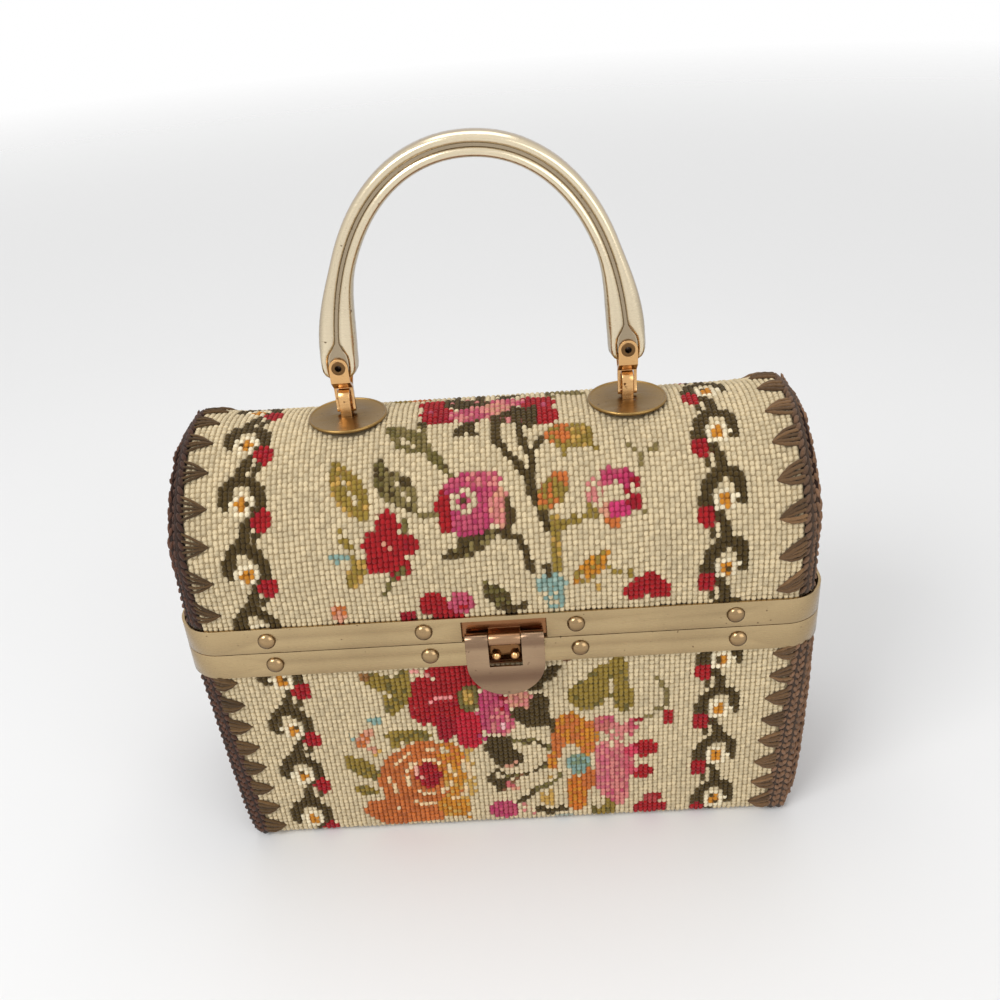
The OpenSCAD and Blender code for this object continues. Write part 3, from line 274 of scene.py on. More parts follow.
def board():
    m, tree, bsdf = shader_of("pressed board")
    speckle = noise(tree, 700.0, 5.0)
    tone = mixed(tree, "MIX", speckle, linear(150, 132, 104), linear(186, 168, 138))
    surfaced(tree, bsdf, tone, 0.85, speckle, 0.0001)
    return m


def lining_cloth():
    """Plain weave of fine threads."""
    m, tree, bsdf = shader_of("lining cotton")
    threads = noise(tree, 1500.0, 2.0, (1.0, 1.0, 0.2))
    tone = mixed(tree, "MIX", noise(tree, 40.0, 3.0), linear(176, 150, 112), linear(206, 184, 148))
    tone = mixed(tree, "MULTIPLY", 1.0, tone, grey(tree, spread(tree, threads, 0.2, 0.8, 0.85, 1.08)))
    surfaced(tree, bsdf, tone, 0.85, threads, 0.0001, 0.5)
    return m


# Heights on the flap and how dark the metal is there: a painted reflection, dark across the middle, and painted shade
# near the hinge
flap_painted_reflection = (
    (77.7, 0.0), (80.5, 0.0), (82.8, 0.2), (85, 0.55), (87, 0.6), (89.5, 0.35), (92, 0.08), (99, 0.0), (101, 0.5),
    (105, 0.4),
)
stitched_wool = yarn("stitched wool", 0.55, 1100.0, 0.1)
canvas_thread = yarn("canvas thread", 0.8, 1500.0, 0.0)
crochet_yarn = yarn("crochet yarn", 0.9, 1300.0, 0.08)
# A dark backing for the crochet: painted shade between the loops
crochet_shade_backing = yarn("crochet ground", 0.8, 1300.0, 0.0, linear(46, 30, 24))
# Each metal's turned sides darken by edge, 0.5 where none is given: a painted reflection
gilt_band = metal("gilt band", (186, 162, 122), (96, 74, 54), 0.24, 0.02, 0.5, 600.0)
gilt_flap = metal("gilt flap", (172, 145, 116), (88, 58, 48), 0.2, 0.1, 0.5, painted_height_bands=flap_painted_reflection)
gilt_bracket = metal("gilt bracket", (162, 128, 98), (130, 76, 34), 0.22, 0.1, 0.3)
champagne = metal("champagne handle", (224, 209, 180), (104, 82, 58), 0.2, 0.04, 0.25, 500.0, 0.7)
# The hollow rivets' dark colour is partly their old brass and partly painted shade for their hollows
hollow_rivet = metal("hollow rivet", (118, 88, 56), (38, 26, 18), 0.35, 0.1, 0.5, edge=0.8)
warm_gold = metal("warm gold", (222, 176, 120), (96, 58, 32), 0.2, 0.08, 0.35, edge=0.6)
olive_brass = metal("olive brass", (150, 120, 72), (66, 48, 26), 0.3, 0.04, 0.4, edge=0.4)
rivet_brass = metal("rivet brass", (168, 140, 102), (50, 34, 24), 0.18, 0.06, 0.5, edge=1.0)
plain_board = board()
cotton = lining_cloth()


# Making pieces


def nothing_selected():
    if bpy.context.object and bpy.context.object.mode != "OBJECT":
        bpy.ops.object.mode_set(mode="OBJECT")
    bpy.ops.object.select_all(action="DESELECT")


def pick(obj):
    nothing_selected()
    obj.select_set(True)
    bpy.context.view_layer.objects.active = obj


def reworked(obj, *steps):
    """Runs mesh tools on a piece, each given with its settings."""
    pick(obj)
    bpy.ops.object.mode_set(mode="EDIT")
    bpy.ops.mesh.select_all(action="SELECT")
    for tool, settings in steps:
        tool(**settings)
    bpy.ops.object.mode_set(mode="OBJECT")


def linked(name, data):
    obj = bpy.data.objects.new(name, data)
    bpy.context.collection.objects.link(obj)
    return obj


def coloured(mesh, attribute, colours):
    a = mesh.attributes.new(attribute, "FLOAT_COLOR", "POINT")
    a.data.foreach_set("color", np.asarray(colours, np.float32).ravel())


def through(name, points, faces, colours, attribute="wool"):
    """A smooth mesh through points in millimetres, with a colour for each point where colours are given."""
    mesh = bpy.data.meshes.new(name)
    mesh.from_pydata((points * mm).tolist(), [], faces)
    if colours is not None:
        coloured(mesh, attribute, colours)
    obj = linked(name, mesh)
    pick(obj)
    bpy.ops.object.shade_smooth()
    return obj


def settled(obj, name, material, body, replaced=()):
    """Puts the finished piece's place into its mesh and gives it its name, finish and body."""
    pick(obj)
    bpy.ops.object.transform_apply(location=True, rotation=True, scale=True)
    obj.name = obj.data.name = name
    obj.data.materials.clear()
    obj.data.materials.append(material)
    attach(obj, body)
    if replaced:
        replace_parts(obj, *replaced)
    return obj


def quads(rows, across, closed):
    """Faces between rows of points; closed joins each row's last point to its first."""
    faces = []
    for j in range(rows - 1):
        for k in range(across if closed else across - 1):
            n = (k + 1) % across
            faces.append((j * across + k, j * across + n, (j + 1) * across + n, (j + 1) * across + k))
    return faces


def grid_piece(
    name, points, material, body, replaced=(), closed=False, thick=0.0, colours=None, attribute="wool"
):
    """A surface through rows of points, with an even thickness inwards."""
    obj = through(name, points.reshape(-1, 3), quads(*points.shape[:2], closed), colours, attribute)
    if thick:
        s = obj.modifiers.new("thickness", "SOLIDIFY")
        s.thickness = thick * mm
        s.offset = -1
        bpy.ops.object.modifier_apply(modifier="thickness")
    return settled(obj, name, material, body, replaced)


def half_ball(name, segments, rings, low=-0.02):
    """The upper part of a ball with a closed flat side, one unit in each radius."""
    nothing_selected()
    bpy.ops.mesh.primitive_uv_sphere_add(segments=segments, ring_count=rings, radius=1.0)
    obj = bpy.context.object
    obj.name = name
    below = {"plane_co": (0, 0, low), "plane_no": (0, 0, 1), "clear_inner": True, "use_fill": True}
    reworked(obj, (bpy.ops.mesh.bisect, below))
    return obj


def repeated(name, shape, axes, sizes, places, material, body, colours=None, replaced=()):
    """Copies a shape to many places: axes holds each copy's three directions as rows."""
    verts = np.array([v.co[:] for v in shape.data.vertices])
    loops = np.array([i for p in shape.data.polygons for i in p.vertices])
    counts = np.array([len(p.vertices) for p in shape.data.polygons])
    n, v = len(places), len(verts)
    local = verts[None, :, :] * sizes[:, None, :]
    points = np.einsum("nvi,nij->nvj", local, axes) + places[:, None, :]
    all_loops = (loops[None, :] + (np.arange(n) * v)[:, None]).ravel()
    all_counts = np.tile(counts, n)
    starts = np.concatenate([[0], np.cumsum(all_counts)[:-1]])
    mesh = bpy.data.meshes.new(name)
    mesh.vertices.add(n * v)
    mesh.vertices.foreach_set("co", (points * mm).ravel())
    mesh.loops.add(len(all_loops))
    mesh.loops.foreach_set("vertex_index", all_loops.astype(np.int32))
    mesh.polygons.add(len(all_counts))
    mesh.polygons.foreach_set("loop_start", starts.astype(np.int32))
    mesh.update(calc_edges=True)
    mesh.polygons.foreach_set("use_smooth", np.ones(len(all_counts), dtype=bool))
    if colours is not None:
        coloured(mesh, "wool", np.repeat(colours, v, axis=0))
    mesh.validate()
    return settled(linked(name, mesh), name, material, body, replaced)


def rows_of(vectors):
    return vectors / np.linalg.norm(vectors, axis=-1, keepdims=True)


def across_to(vectors, axes):
    """Vectors made square to the given unit axes."""
    return rows_of(vectors - axes * np.sum(vectors * axes, axis=1, keepdims=True))


def bead_axes(out, along, turn):
    """Directions of beads: the first across, the second along, the third out, turned in the surface."""
    out = rows_of(out)
    along = across_to(along, out)
    across = np.cross(along, out)
    c, s = np.cos(turn)[:, None], np.sin(turn)[:, None]
    return np.stack([across * c + along * s, along * c - across * s, out], axis=1)


def drawn_sizes(n, *ranges):
    """Three radii for each of n beads, each drawn between its own limits."""
    return np.stack([chance.uniform(low, high, n) for low, high in ranges], axis=1)


# The surfaces that cloth follows


def lengths_along(points):
    """Length along a line up to each of its points."""
    d = np.diff(points, axis=0)
    return np.concatenate([[0], np.cumsum(np.hypot(d[:, 0], d[:, 1]))])


class Section:
    """A line across the bag, by its length: place and outward direction in Y and Z."""

    def __init__(self, points, side):
        self.p = np.array(points)
        self.s = lengths_along(self.p)
        t = np.gradient(self.p, self.s, axis=0)
        t /= np.hypot(t[:, 0], t[:, 1])[:, None]
        self.n = np.stack([-t[:, 1], t[:, 0]], axis=1) * side
        self.length = self.s[-1]

    def at(self, s):
        return (np.interp(s, self.s, c) for c in (*self.p.T, *self.n.T))


def lid_line():
    up = [(-half_d, z) for z in np.arange(lid_tuck_z, barrel_z, 1.0)]
    arc = [(-half_d * math.cos(a), barrel_z + half_d * math.sin(a)) for a in np.linspace(0, math.pi, 160)]
    return up + arc + [(-y, z) for y, z in reversed(up)]


def tapered(full, foot, z):
    """A half size of the base at a height: full at the band and smaller at the foot."""
    return full - (full - foot) * np.maximum(0, base_tuck_z - z) / base_tuck_z


def wall_y(z):
    return tapered(half_d, foot_half_d, z)


def base_seam(z):
    return tapered(seam_x, foot_seam_x, z)


def base_line():
    lean = math.atan((half_d - foot_half_d) / base_tuck_z)
    centre_y = foot_half_d + math.tan(lean) * foot_r - foot_r / math.cos(lean)
    low = foot_r - foot_r * math.sin(lean)
    down = [(-float(wall_y(z)), z) for z in np.arange(base_tuck_z, low, -1.0)]
    turn = np.linspace(lean, math.pi / 2, 24)
    arc = [(-centre_y - foot_r * math.cos(a), foot_r - foot_r * math.sin(a)) for a in turn]
    under = [(y, 0.0) for y in np.linspace(-centre_y, 0, 30)[1:]]
    front = down + arc + under
    return front + [(-y, z) for y, z in reversed(front[:-1])]


lid_path = Section(lid_line(), 1)
base_path = Section(base_line(), -1)
lid_start = lid_tuck_z - joint_z
lid_end = lid_start + lid_path.length
lid_mid = lid_start + lid_path.length / 2


def plan_y(x):
    dx = np.clip(np.abs(x) - (half_w - plan_r), 0, plan_r)
    return half_d - plan_r + np.sqrt(plan_r**2 - dx**2)


def on_lid(x, run, rise):
    """Places and outward directions on the lid; run counts from the joint line up the front."""
    x = np.asarray(x, float)
    y, z, ny, nz = lid_path.at(np.asarray(run, float) - lid_start)
    # The cloth stands off the barrel a little more towards the upper ends
    to_end = np.clip((np.abs(x) - 84.0) / 27.0, 0, 1) ** 2
    off = rise + to_end * np.clip((z - barrel_z) / 30.0, 0, 1) * 1.6
    y = np.clip(y + ny * off, -plan_y(x) - rise, plan_y(x) + rise)
    return np.stack([x, y, z + nz * off], -1), np.stack([np.zeros_like(x), ny, nz], -1)


def on_base(x, s, rise):
    """Places and outward directions on the base; s counts from the front band down and under."""
    x = np.asarray(x, float)
    y, z, ny, nz = base_path.at(s)
    y = np.clip(y + ny * rise, -plan_y(x) - rise, plan_y(x) + rise)
    return np.stack([x, y, z + nz * rise], -1), np.stack([np.zeros_like(x), ny, nz], -1)


# The flower pattern, drawn in millimetres: shapes laid one over another, where
# a second colour takes a share of the stitches by chance

cream = (208, 190, 154)
red = (160, 18, 24)
crimson = (150, 12, 30)
pink = (184, 76, 100)
rose = (206, 126, 120)
salmon = (206, 146, 118)
orange = (192, 106, 48)
amber = (196, 128, 32)
gold = (190, 150, 74)
olive = (142, 118, 46)
moss = (104, 92, 44)
grey_olive = (124, 108, 62)
bark = (72, 55, 18)
teal = (130, 158, 148)
petal = (230, 216, 184)
magenta = (174, 56, 94)
cerise = (178, 48, 88)
rust = (178, 96, 44)
umber = (120, 80, 50)
blush = (224, 140, 136)
peach = (230, 170, 150)


def oval(x, y, rx, ry, colour, second=None, share=0.35, turn=0):
    def inside(px, py):
        c, s = math.cos(math.radians(turn)), math.sin(math.radians(turn))
        u, v = (px - x) * c + (py - y) * s, (py - y) * c - (px - x) * s
        return (u / rx) ** 2 + (v / ry) ** 2 <= 1.0

    return inside, colour, second, share


def leaf(x0, y0, x1, y1, width, colour, second=None, share=0.35):
    def inside(px, py):
        dx, dy = x1 - x0, y1 - y0
        l = math.hypot(dx, dy)
        t = ((px - x0) * dx + (py - y0) * dy) / l
        off = np.abs((py - y0) * dx - (px - x0) * dy) / l
        k = np.clip(2 * t / l - 1, -1, 1)
        return (off <= width / 2 * (1 - k**2)) & (t > 0) & (t < l)

    return inside, colour, second, share


def line(points, width, colour, second=None, share=0.35):
    def inside(px, py):
        hit = np.zeros(px.shape, bool)
        for (x0, y0), (x1, y1) in zip(points, points[1:]):
            dx, dy = x1 - x0, y1 - y0
            t = np.clip(((px - x0) * dx + (py - y0) * dy) / (dx * dx + dy * dy), 0, 1)
            hit |= np.hypot(px - x0 - t * dx, py - y0 - t * dy) <= width / 2
        return hit

    return inside, colour, second, share


def ring(x, y, rx, ry, width, colour, gap=0.0):
    def inside(px, py):
        d = np.hypot((px - x) / rx, (py - y) / ry)
        a = np.degrees(np.arctan2(py - y, px - x))
        return (np.abs(d - 1) * min(rx, ry) <= width / 2) & ((gap == 0) | (np.sin(np.radians(a * 6)) > gap))

    return inside, colour, None, 0


# One turn of the border vine: the width of each stroke and its points from the daisy's heart
vine_strokes = (
    (4.8, [(0.3, 10.2), (3.8, 9.2), (5.9, 5.4), (5.9, 0.6)]),
    (4.6, [(0.3, 10.2), (-3, 8.6), (-5.6, 5.6), (-6.8, 2), (-6.8, -2)]),
    (3, [(-4.9, -1), (-2.6, -5), (-0.9, -9)]),
    (4.3, [(-0.9, -9), (0.3, -12.4), (0.3, -15.6)]),
    (2.2, [(-4.9, -10), (-4.4, -13)]),
)
vine_pitch = 25.4


def vine(x, first, count, side, pitch=vine_pitch):
    """Border vine: side is 1 where the daisies face right and -1 where they face left."""
    out = []
    for k in range(count):
        y = first + k * pitch
        for width, points in vine_strokes:
            out.append(line([(x + side * px, y + py) for px, py in points], width, bark))
        out.append(oval(x - side * 7, y - 5.6, 3.6, 4.2, red, crimson, 0.2))
        for a in np.radians([90, 18, 162, 234, 306]):
            out.append(oval(x + 2.9 * math.cos(a), y + 2.9 * math.sin(a), 2.1, 2.1, petal))
        out.append(oval(x, y, 2.1, 2.9, amber, bark, 0.12))
    return out


lid_bouquet = [
    # single leaves on the left
    leaf(-56.5, 74, -44, 50, 11.5, olive, gold, 0.3),
    line([(-53, 67), (-50, 61), (-47.5, 57)], 1.5, cream),
    leaf(-39.5, 75, -37.5, 58, 5.6, moss, bark, 0.2),
    leaf(-38, 69, -26.5, 53, 10.5, grey_olive, bark, 0.25),
    line([(-34, 65), (-31.5, 61), (-29.5, 58)], 1.4, cream),
    line([(-27.5, 54), (-24, 51), (-19, 51.5)], 2, grey_olive),
    leaf(-37, 90, -22, 75, 10, grey_olive, moss, 0.3),
    line([(-32, 83), (-29, 80), (-27, 79)], 1.5, cream),
    line([(-24, 91), (-23.5, 84), (-22, 77), (-18, 70), (-13, 65)], 2.6, grey_olive, bark, 0.3),
    leaf(-22, 78, -16, 68, 4, moss),
    # flower at the top
    oval(-19, 96.5, 6.2, 6.8, red, crimson, 0.25),
    oval(-21, 106, 6, 5.5, red),
    oval(-15, 92, 3.6, 2.8, crimson),
    oval(-21, 98, 1.6, 1.6, pink),
    oval(-6, 94.5, 8.4, 4.4, pink, rose, 0.3),
    oval(3.5, 99, 4.4, 5.2, rose, salmon, 0.4),
    oval(-8, 104.5, 8.5, 5, bark, rose, 0.15),
    leaf(-14, 81, -3, 91, 5, bark),
    leaf(-9, 86, -3, 82, 3.4, bark),
    # rose
    oval(-7.5, 55, 11.2, 11.6, pink, magenta),
    oval(-16.6, 52.5, 2.8, 7.8, red, turn=6),
    oval(3.2, 53, 3.8, 7, rose, salmon, 0.4),
    oval(-2, 63.5, 6.5, 3.4, rose, pink, 0.5),
    ring(-9.4, 56, 3.6, 3.4, 2, cream),
    oval(-9.6, 56, 1.8, 1.6, bark),
    line([(6.4, 55), (7, 48), (4.5, 44.5)], 2.2, bark),
    leaf(-20, 35, 3, 44.5, 6.8, bark, grey_olive, 0.25),
    line([(-17, 38), (-13.5, 41)], 1.6, cream),
    line([(4, 43.5), (8.5, 42), (11.5, 37), (13, 29.5)], 2.8, bark),
    # red flower with its sprig
    oval(-37, 48.5, 4.4, 5.6, red),
    oval(-42.3, 42.5, 4.2, 5, red, crimson, 0.2),
    oval(-41, 35.5, 4.8, 4.8, red),
    oval(-34, 33.5, 4.2, 4.6, red, crimson, 0.25),
    oval(-31, 41.5, 4.4, 4.4, red, crimson, 0.2),
    oval(-37, 41, 5, 5, red),
    line([(-39, 42), (-37, 41), (-36, 39)], 1.3, salmon),
    line([(-32, 33), (-38, 27.5), (-40, 23)], 2, moss),
    line([(-54, 47), (-50.5, 41), (-49.5, 36)], 3, olive, cream, 0.2),
    oval(-55, 38.3, 3.2, 1.9, teal),
    leaf(-46.5, 37, -53, 25, 6.6, olive, gold, 0.35),
    line([(-30.5, 50), (-31, 46)], 2, moss),
    # half flowers over the band
    oval(-58, 15, 2.8, 4.2, salmon, orange, 0.4),
    oval(-23.5, 17, 5.4, 5.2, red),
    oval(-18.5, 12, 5.6, 4.6, red, crimson, 0.2),
    oval(-13, 16.5, 4.6, 5.2, pink, red, 0.3),
    oval(-33, 12, 3.4, 1.8, crimson),
    leaf(-4.5, 25.5, 5, 11.5, 7.4, moss, bark, 0.5),
    line([(4, 11.5), (9.5, 14.5)], 2.6, bark),
    # branch
    line([(2.6, 90), (2.8, 80), (7.5, 72), (12.5, 65.5), (15.3, 57), (18.5, 48.5), (19.6, 44)], 3.1, bark),
    line([(11.5, 87), (12.2, 79), (15, 72), (15, 64)], 2.9, bark),
    line([(20, 79.5), (15.5, 73)], 2.4, bark),
    leaf(17.5, 100.5, 14.5, 83.5, 6.2, bark),
    leaf(10.2, 100.5, 10.8, 89.5, 3.6, bark),
    leaf(17.5, 50.5, 27.5, 65.5, 9.4, orange, olive, 0.4),
    oval(25, 57.5, 2.2, 3.6, olive),
    oval(26.5, 80.2, 5.4, 5.4, olive, orange, 0.45),
    oval(33, 79.5, 5.4, 5.6, olive, gold, 0.3),
    oval(27, 80.5, 2.6, 2.6, orange),
    line([(28, 75), (27, 72)], 2, olive),
    line([(36, 76), (39, 73)], 2, olive),
    line([(22.2, 48), (22.2, 30)], 3.4, olive, gold, 0.25),
    line([(22.2, 43), (27, 46.5), (33, 48.5), (41, 47)], 2.8, olive, cream, 0.15),
    line([(34.5, 52), (37, 48)], 2, olive),
    oval(42.5, 45, 2.4, 1.8, orange),
    # pink flower on the right
    oval(36.8, 56.5, 3, 5.4, rose, cream),
    oval(41, 50.5, 2.6, 3, salmon),
    oval(43.2, 61.5, 4.4, 3.8, pink, cerise, 0.4),
    oval(48.5, 60.8, 3.4, 3.2, cerise),
    oval(51.6, 59.5, 1.6, 2.2, crimson),
    oval(44, 56, 2.2, 3.8, cream),
    oval(45.5, 50, 4.2, 3.2, (196, 54, 104)),
    oval(50.5, 52.2, 2.8, 2.8, crimson),
    oval(48, 56, 1.6, 1.8, crimson),
    line([(49.5, 75.5), (54.5, 69), (60.5, 72.5)], 1.9, grey_olive, cream, 0.25),
    line([(54.8, 69), (53.5, 64.5)], 1.8, grey_olive, cream, 0.25),
    line([(54.5, 49), (59, 46)], 1.7, grey_olive, cream, 0.4),
    # lower right
    leaf(27, 22.5, 41, 35, 7.8, amber, olive, 0.35),
    line([(31, 25), (36.5, 20)], 2, gold, cream, 0.4),
    line([(40.5, 27.5), (48.5, 25.5)], 2.2, olive, cream, 0.35),
    oval(19.6, 23, 5.6, 4.2, teal, (150, 172, 160), 0.4),
    oval(20.5, 16, 3.8, 5, teal, cream, 0.2),
    oval(17.8, 19.5, 1.4, 1.4, cream),
    line([(18.4, 30.5), (19, 26.5)], 2.4, bark),
    oval(50, 17.5, 4.2, 4.2, red),
    oval(54.5, 21.5, 5.2, 3.8, red, crimson, 0.15),
    oval(58.7, 18, 4, 4.4, red),
    oval(54.3, 14.2, 1.8, 2.2, cream),
]

base_bouquet = [
    # leaves on the left
    leaf(-55, 85.5, -40, 77.5, 8.5, olive, moss, 0.2),
    oval(-53, 84.5, 2, 2.2, (140, 96, 50)),
    leaf(-37, 88.5, -45.5, 63.5, 9.8, olive, moss, 0.2),
    line([(-46, 76.5), (-45, 74.5)], 1.6, cream),
    oval(-52, 62.6, 2.9, 1.9, teal),
    leaf(-50.5, 54, -29, 52.5, 7.6, olive, moss, 0.2),
    oval(-45.5, 49, 2.2, 2.6, olive),
    leaf(-53.5, 59, -60.5, 47.5, 5, salmon, orange, 0.4),
    oval(-54.6, 47, 1.6, 2.2, salmon),
    line([(-64, 57), (-61, 53)], 1.6, teal, cream, 0.4),
    leaf(-66.5, 43.5, -53.5, 29.5, 9, olive, moss, 0.2),
    leaf(-65.5, 25.5, -54, 22, 5.4, olive, moss, 0.2),
    line([(-54.5, 43), (-52, 47)], 1.6, gold),
    # red flower
    oval(-20.5, 82.5, 9.6, 8, red),
    oval(-30.5, 77.5, 6, 6.2, red),
    oval(-31.5, 67.5, 6.6, 8.8, red, crimson, 0.15),
    oval(-23.5, 66, 9.4, 9.4, red, crimson, 0.15),
    oval(-24.5, 56, 4, 7, crimson),
    oval(-15.5, 54.5, 5.6, 11, (182, 24, 44)),
    oval(-11.5, 81, 3.2, 7.5, red),
    line([(-34, 86.5), (-30.5, 85.5), (-27, 82.5)], 1.8, (222, 150, 140), cream, 0.4),
    line([(-27.5, 72.3), (-20.5, 72.3)], 1.6, blush),
    oval(-29.2, 70.3, 1.1, 1.1, blush),
    oval(-35.8, 67.8, 1.1, 1.1, blush),
    oval(-14, 71.2, 4.9, 6.6, moss),
    oval(-14.2, 71.8, 2.6, 4.6, gold, olive, 0.3),
    # pink beside it
    oval(-5.2, 64, 6.4, 12.8, pink, magenta, 0.4),
    oval(-2.5, 58, 5.2, 7, pink, rose, 0.3),
    oval(5, 68.6, 5.2, 4.6, rose, salmon, 0.4),
    oval(-1, 70.5, 1.1, 1.6, crimson),
    oval(-1.2, 65, 1.1, 1.2, crimson),
    oval(-2, 56, 1.2, 1.3, (240, 190, 190)),
    line([(-12, 51), (-7, 49.5)], 2.2, magenta),
    # dark leaves in the middle
    line([(19.5, 84), (15, 79.5), (11.5, 75.5)], 4.6, bark),
    oval(12.6, 66, 3.8, 6.4, bark),
    oval(6, 61.5, 4.4, 3.6, bark),
    oval(11, 57.5, 6.6, 3.6, bark),
    line([(14.5, 60), (18.8, 51.5), (20, 46.5)], 3.8, bark),
    oval(-4.5, 43.5, 5.6, 7.4, bark),
    oval(-1.5, 38, 6.6, 4.6, bark),
    oval(-5.8, 25.5, 4.2, 7, bark),
    line([(0, 48.5), (6, 46.8), (11, 46.8), (15.5, 42.5)], 2.2, moss, bark, 0.4),
    line([(-5, 27), (1, 28.5), (8, 29.5), (13.5, 33), (16, 34.5)], 2, moss, bark, 0.5),
    line([(-4, 20), (3.5, 28)], 2.2, umber),
    line([(8, 19), (14.5, 22), (19.5, 27)], 2, moss),
    line([(1, 12), (6.5, 15.5), (8, 19)], 2.4, bark),
    line([(10, 8.5), (14, 6), (19.5, 7), (22, 11)], 3.8, bark),
    oval(-9.8, 37, 2.2, 5.4, cream),
    oval(-9.6, 19.5, 2.6, 6, cream),
    oval(-5.5, 28.5, 2.4, 1.6, cream),
    line([(-1, 33), (1.5, 35.5)], 2.4, salmon),
    line([(-2.5, 24), (1, 20)], 2.4, salmon),
    line([(3.5, 10), (7.5, 6)], 3.4, rose, cream, 0.35),
    oval(14, 14.5, 3, 4.6, gold, cream, 0.3),
    oval(15.5, 26, 2, 2.6, gold, cream, 0.4),
    # orange rose
    oval(-37, 28, 17.2, 19.5, orange, rust),
    oval(-55.5, 12.5, 6.8, 5.6, orange, rust),
    oval(-49, 7.2, 9, 4.8, orange, rust),
    oval(-37, 7.4, 8.4, 4.2, orange),
    oval(-34, 44, 9.5, 5.6, orange),
    oval(-24.5, 40, 5.6, 8.6, amber, orange, 0.3),
    oval(-23.5, 28, 4.4, 8.2, amber, gold, 0.3),
    oval(-24.5, 12.5, 6.8, 7, amber, gold, 0.2),
    oval(-16.2, 39.5, 2, 6.5, gold, cream, 0.3),
    oval(-16, 23, 2, 6.5, gold, cream, 0.4),
    oval(-20, 4.5, 3, 2.6, amber, cream, 0.3),
    ring(-33, 29.5, 16.4, 15.4, 1.8, (226, 196, 150), -0.45),
    ring(-33.5, 30, 9.6, 9.6, 2, (230, 204, 160), -0.7),
    oval(-27, 44.5, 2.2, 1.4, cream),
    oval(-33.8, 31, 5.2, 7.2, crimson, red, 0.4),
    oval(-38.3, 34, 1.2, 2.4, peach),
    oval(-36.6, 29.8, 1.1, 1.2, peach),
    # orange flower with a teal heart
    oval(24.5, 52.5, 6.6, 8.4, amber, orange, 0.5),
    oval(30.5, 47, 4.4, 9.6, amber, orange, 0.4),
    oval(18.8, 44, 2.6, 7, orange),
    oval(17, 35.5, 2.2, 5.6, amber, orange, 0.4),
    oval(27, 33, 5, 5.8, (118, 132, 100), teal, 0.45),
    line([(22.5, 38.5), (22, 31), (23.5, 27.5)], 1.7, cream),
    line([(24.5, 43.5), (28, 39)], 1.7, cream),
    oval(26, 16, 4.8, 10.4, (196, 108, 32), amber, 0.4),
    oval(31, 24, 2.6, 6, orange),
    oval(20.6, 13, 1.3, 5.4, cream),
    # pink flower on the right
    oval(37, 30, 3.4, 17, (198, 100, 116), rose, 0.4),
    oval(43.5, 29.5, 4.4, 15, rose, (190, 96, 106), 0.45),
    oval(42, 14, 5.2, 6, rose, pink, 0.3),
    oval(37.5, 54, 4.6, 4.8, (196, 110, 100), pink, 0.3),
    oval(42.5, 48, 3, 7.6, rose, cream, 0.25),
    oval(47.8, 51.5, 2.6, 4.2, (190, 80, 96), rose, 0.3),
    oval(47.5, 34, 2.6, 9, (198, 90, 104), rose, 0.3),
    line([(36.5, 49), (37.5, 44)], 1.6, cream),
    line([(45.5, 46), (47, 42)], 1.8, cream),
    oval(51, 55.5, 1.5, 1.8, crimson),
    oval(53.5, 39.5, 5.6, 4.2, red, crimson, 0.15),
    oval(48, 38.5, 2.6, 3, (200, 60, 84)),
    oval(53, 27, 4.4, 3.8, red),
    oval(48.5, 28, 2, 3, (200, 80, 96)),
    oval(56, 5.2, 7.6, 4.2, red, crimson, 0.15),
    oval(57, 11.5, 4, 3.2, (168, 60, 60), red, 0.3),
    oval(62.8, 56, 2.6, 3.6, red),
    line([(58.5, 76), (61.8, 70), (62, 62.5), (58.5, 60)], 2, grey_olive),
    line([(53.5, 56.8), (56.5, 57.5)], 1.6, grey_olive),
    # big leaf
    oval(31, 69.5, 7.6, 7.4, olive, moss, 0.2),
    oval(38, 75.5, 7.2, 9, olive, moss, 0.15),
    oval(43.2, 81, 3.8, 7.6, olive, moss, 0.15),
    oval(45.5, 67, 3.6, 7.8, olive, moss, 0.2),
    line([(38.2, 61), (38.4, 67)], 1.8, cream),
    line([(25, 62.5), (25, 65)], 1.6, cream),
    line([(41, 71), (40.5, 76)], 1.2, cream),
    oval(36.5, 6.5, 5.6, 5.8, olive, moss, 0.2),
    oval(35, 9, 2.2, 3, cream),
    oval(20, 2.2, 4.2, 1.6, (150, 158, 146)),
    oval(-4.5, 8.6, 6.4, 5.4, pink, magenta, 0.3),
    oval(-1.5, 22.8, 1.6, 2, (190, 96, 96)),
    oval(24.5, 88, 1.6, 1.4, umber),
]

lid_pattern = vine(-88.7, 33.6 - vine_pitch, 8, -1) + vine(82.4, 25.6 - vine_pitch, 9, 1) + lid_bouquet
base_vines = vine(-84.6, 34.2 - vine_pitch, 4, -1) + vine(82.3, 33.4 - 25.2, 4, 1, 25.2)
base_pattern = base_vines + base_bouquet
# The vines go on under the base
under_pattern = vine(-84.6, -42.4, 3, -1) + vine(82.3, -42.2, 3, 1)


def toned(colours, low, high):
    """Shader colours from seen ones, each darker or lighter by chance."""
    shade = 1 + chance.uniform(low, high, len(colours))
    c = shader_numbers(colours) * shade[:, None]
    return np.concatenate([np.clip(c, 0, 1), np.ones((len(c), 1))], axis=1)


def wool_colours(x, y, pattern, back=None):
    """Colour of each stitch; back is the same place counted from the other side of the lid."""
    n = len(x)
    colour = np.tile(np.array(cream, float), (n, 1))
    die = chance.rand(n)

    def lay(shapes, place, free):
        covered = np.zeros(n, bool)
        for inside, first, second, share in shapes:
            hit = inside(*place) & free
            covered |= hit
            colour[hit] = first
            if second:
                colour[hit & (die < share)] = second
        return covered

    covered = lay(pattern, (x, y), np.ones(n, bool))
    if back is not None:
        lay(lid_bouquet, back, ~covered)
    return toned(colour, -0.15, 0.12)


# Tapestry: canvas, and a bead of wool for each stitch

fine_bead = half_ball("stitch", 8, 4)
plain_bead = half_ball("stitch_far", 6, 4)
columns_each_side = 56
